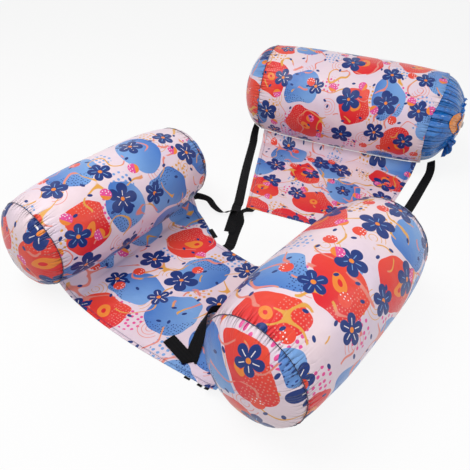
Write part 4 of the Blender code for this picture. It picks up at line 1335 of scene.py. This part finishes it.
def loose_end(side, sign, inset, link, grip_share, offset):
    """Lays a loose end beside its link strap, with its grip. Gives two points on the strap, near its start
    and where it lies over the link strap.
    """
    foot = sign * (PANEL_FOOT_HALF + STRAP_SPACING - inset)
    start = Vector(back_floor(foot, PANEL_DROP + HINGE_CLEARANCE))
    square = Vector(back_floor(foot - sign * inset * 0.1, PANEL_DROP + STRAP_SQUARE))
    lead = Vector(back_floor(foot - sign * inset * 0.9, PANEL_DROP + 2 * STRAP_LEAD))
    middle, run = smooth_route(link, grip_share)
    run = run.to_2d().normalized()
    outward = Vector((-run.y, run.x)) * -sign
    over = Vector((*(middle.to_2d() + outward * offset), floor_level(1), middle.w))
    first = start.lerp(over, STRAP_RISE_SHARE)
    first.z = floor_level(1)
    end = over.copy()
    end.xy = over.to_2d() + (over - start).to_2d().normalized() * STRAP_TAIL
    strap(side + "_loose_webbing", [start, square, lead, first, over, end], WEB_WIDTH, "seat",
          side + "_strap_end")
    short_band(side + "_grip_tape", middle.to_2d() + outward * offset / 2, run, Vector((run.y, -run.x)),
               GRIP_HALF, SEAM_GAP + WEB_WALL + SEAM_GAP + GRIP_WALL / 2, side + "_grip_patch",
               wall=GRIP_WALL, finish=hook_tape)
    return start.lerp(lead, 0.9), first.lerp(over, 0.5)


# Side straps: narrow webbing from the seat's rear corners, on edge at first, down to where each is
# sewn on its loose end. They are slack and hang in a bend.
SIDE_WEB_WIDTH = 0.020
SIDE_GAP = 0.0008
SIDE_LEAD = 0.0064
LEFT_SIDE_ROUTE = (
    (-0.2155, 0.2450, 0.0240, 1.0), (-0.1853, 0.2574, 0.0180, 0.3), (-0.1518, 0.2447, 0.0110, 0.0),
    (-0.1206, 0.2380, 0.0090, -0.6), (-0.1050, 0.2500, 0.0100, -1.25),
)
RIGHT_SIDE_ROUTE = (
    (0.2752, 0.2648, 0.0210, 1.0), (0.2686, 0.2838, 0.0103, 0.9), (0.2629, 0.2975, 0.0082, 0.1),
)


def side_webbing(side, across, bolster, stop, layer, route):
    """Narrow webbing from the seat's rear corner, down to where it is sewn on the loose end."""
    inner, outer = seat_point(across, 1), seat_point(round(across), 1)
    edge = (inner - outer).normalized()
    surface = outer.lerp(inner, 0.5) - seat_point(round(across), 0.875).lerp(seat_point(across, 0.875), 0.5)
    away = (surface - edge * surface.dot(edge)).normalized()
    level = away.cross(Vector((0, 0, 1))).normalized()
    lean = level.angle(edge * bolster.inward) * bolster.inward
    start = outer.lerp(inner, 0.5) + away * SIDE_GAP
    stations = [Vector((*start, lean)), Vector((*(start + away * SIDE_LEAD), lean))]
    stations += [Vector((*spot, lean * turn)) for *spot, turn in route]
    stations.append(Vector((*stop.to_2d(), floor_level(layer), 0)))
    strap(side + "_side_webbing", stations, SIDE_WEB_WIDTH, "seat", side + "_side_strap")


near, _ = loose_end("left", -1, LEFT_FOOT_INSET, left_link, 0.40, 0.0175)
side_webbing("left", 1 / SEAT_COLUMNS, LEFT_ARM, near, 1, LEFT_SIDE_ROUTE)
_, far = loose_end("right", 1, 0, right_link, 0.62, 0.011)
side_webbing("right", 1 - 1 / SEAT_COLUMNS, RIGHT_ARM, far, 2, RIGHT_SIDE_ROUTE)


# Rear tabs: two stubs of the webbing sewn flat on the seat's rear edge, beside the link straps.
TAB_HALF = 0.007

for side, across in (("left", 0.368), ("right", 0.748)):
    edge, away = rear_edge(across, 0, TAPE_LENGTH)
    short_band(side + "_rear_stub", edge, Vector((away.y, -away.x)), away, TAB_HALF,
               floor_level(0) + ON_SEAT, side + "_rear_tab")


# Hem tabs: three short black stubs of the webbing that stick out from under the seat's front hem.
HEM_TAB_PLACES = (0.745, 0.822, 0.905)
HEM_TAB_HALF = 0.007
HEM_TAB_OUT = 0.005
HEM_TAB_ROWS = 6
HEM_NEXT = 1 / 72

for number, across in enumerate(HEM_TAB_PLACES):
    here = seat_point(across, 0)
    run = (seat_point(across + HEM_NEXT, 0) - seat_point(across - HEM_NEXT, 0)).normalized()
    out = run.cross(Vector((0, 0, 1))).normalized()
    spots = [here + run * (row / HEM_TAB_ROWS * 2 - 1) * HEM_TAB_HALF for row in range(HEM_TAB_ROWS + 1)]
    pairs = [[spot + out * SEAM_GAP, spot + out * (SEAM_GAP + HEM_TAB_OUT)] for spot in spots]
    woven("hem_stub_" + str(number + 1), pairs, "seat", "hem_tab_" + str(number + 1))


# The front tie: the same webbing, sewn under the right armrest's edge. It comes out on edge, lies
# down on the seat, and is folded back on itself once, slantwise.
FRONT_TIE = ((0.663, 0.464, 1.45), (0.620, 0.400, 1.35), (0.671, 0.185, 0.3), (0.714, 0.066, 0))
FOLD_ANGLE = math.radians(118)
TIE_TAIL = 0.077
TIE_ROWS = 60
FOLD_ROWS = 8
TAIL_ROWS = 12
TIE_LEVEL = PANEL_WALL + SEAM_GAP + WEB_WALL / 2 + 0.0014

stations = [Vector((seat_point(a, b).x, seat_point(a, b).y, 0, lean)) for a, b, lean in FRONT_TIE]
pairs = []
for row in range(TIE_ROWS):
    here, run = smooth_route(stations, row / TIE_ROWS)
    middle = here.to_3d()
    middle.z = TIE_LEVEL + math.sin(abs(here.w)) * WEB_WIDTH / 2
    side = band_side(run, here.w) * WEB_WIDTH / 2
    pairs.append((middle - side, middle + side))
fold, run = smooth_route(stations, 1)
fold = fold.to_3d()
fold.z = TIE_LEVEL
level = band_side(run, 0)
crease = Matrix.Rotation(FOLD_ANGLE, 3, "Z") @ run
crease *= math.copysign(1, crease.dot(level))
half_crease = WEB_WIDTH / 2 / crease.dot(level)
bend_out = (run - crease * crease.dot(run)).normalized()
layer = WEB_WALL + 3 * SEAM_GAP
for step in range(FOLD_ROWS + 1):
    share = step / FOLD_ROWS
    middle = fold + bend_out * layer * math.sin(share * math.pi) * 0.6
    middle.z += layer * (1 - math.cos(share * math.pi)) / 2
    pairs.append((middle - crease * half_crease, middle + crease * half_crease))
back_run = 2 * crease * crease.dot(run) - run
side = (2 * crease * crease.dot(level) - level) * WEB_WIDTH / 2
skew = half_crease * abs(crease.dot(run)) + layer
for step in range(TAIL_ROWS + 1):
    middle = fold + back_run * (skew + (TIE_TAIL - skew) * step / TAIL_ROWS)
    middle.z += layer
    pairs.append((middle - side, middle + side))
woven("front_tie_webbing", pairs, "seat", "front_strap")


# Hook-and-loop closures on the armrests' rear discs: black strips over the slit that the bladder
# goes in by, sewn low on the disc.
CLOSURE_LENGTH = 0.120
CLOSURE_DROP = 0.030
CLOSURE_HALF = 0.011
CLOSURE_ROWS = 24
CLOSURE_OFF = 0.0008
CLOSURE_LIFT = 0.0009

for bolster in (LEFT_ARM, RIGHT_ARM):
    pairs = []
    for row in range(CLOSURE_ROWS + 1):
        side = (row / CLOSURE_ROWS - 0.5) * CLOSURE_LENGTH
        ends = []
        for drop in (CLOSURE_DROP - CLOSURE_HALF, CLOSURE_DROP + CLOSURE_HALF):
            reach = math.hypot(side, drop)
            off = CLOSURE_OFF + float(dome(reach, bolster.ring, bolster.bulge))
            off += CLOSURE_LIFT / math.cos(math.atan(reach / bolster.ring))
            ends.append(bolster.place(bolster.half + off, side, bolster.height - drop))
        pairs.append(ends)
    woven(bolster.name + "_closure_tape", pairs, bolster.name, bolster.name + "_closure", finish=hook_tape)


# Valves and their plugs: injection-moulded clear soft PVC, welded into the bladders. Their shapes
# stay as the model has them.
VALVE_CLEAR = "#E8EEF2"
VALVE_SHADE = "#D3DDE4"

# Moulded soft PVC: milky, lets some light through, and has a slightly uneven gloss from the mould.
clear_pvc, tree = new_material("moulded_clear_soft_pvc")
milky = noise(node(tree, "TexCoord", (), "Object"), 220, 2)
coat(printed(VALVE_CLEAR, VALVE_SHADE, milky), Roughness=milky * 0.15 + 0.14, Transmission_Weight=0.35,
     IOR=1.5)
for name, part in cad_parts.items():
    if "valve" in name:
        for place in part.material_slots:
            place.material = clear_pvc
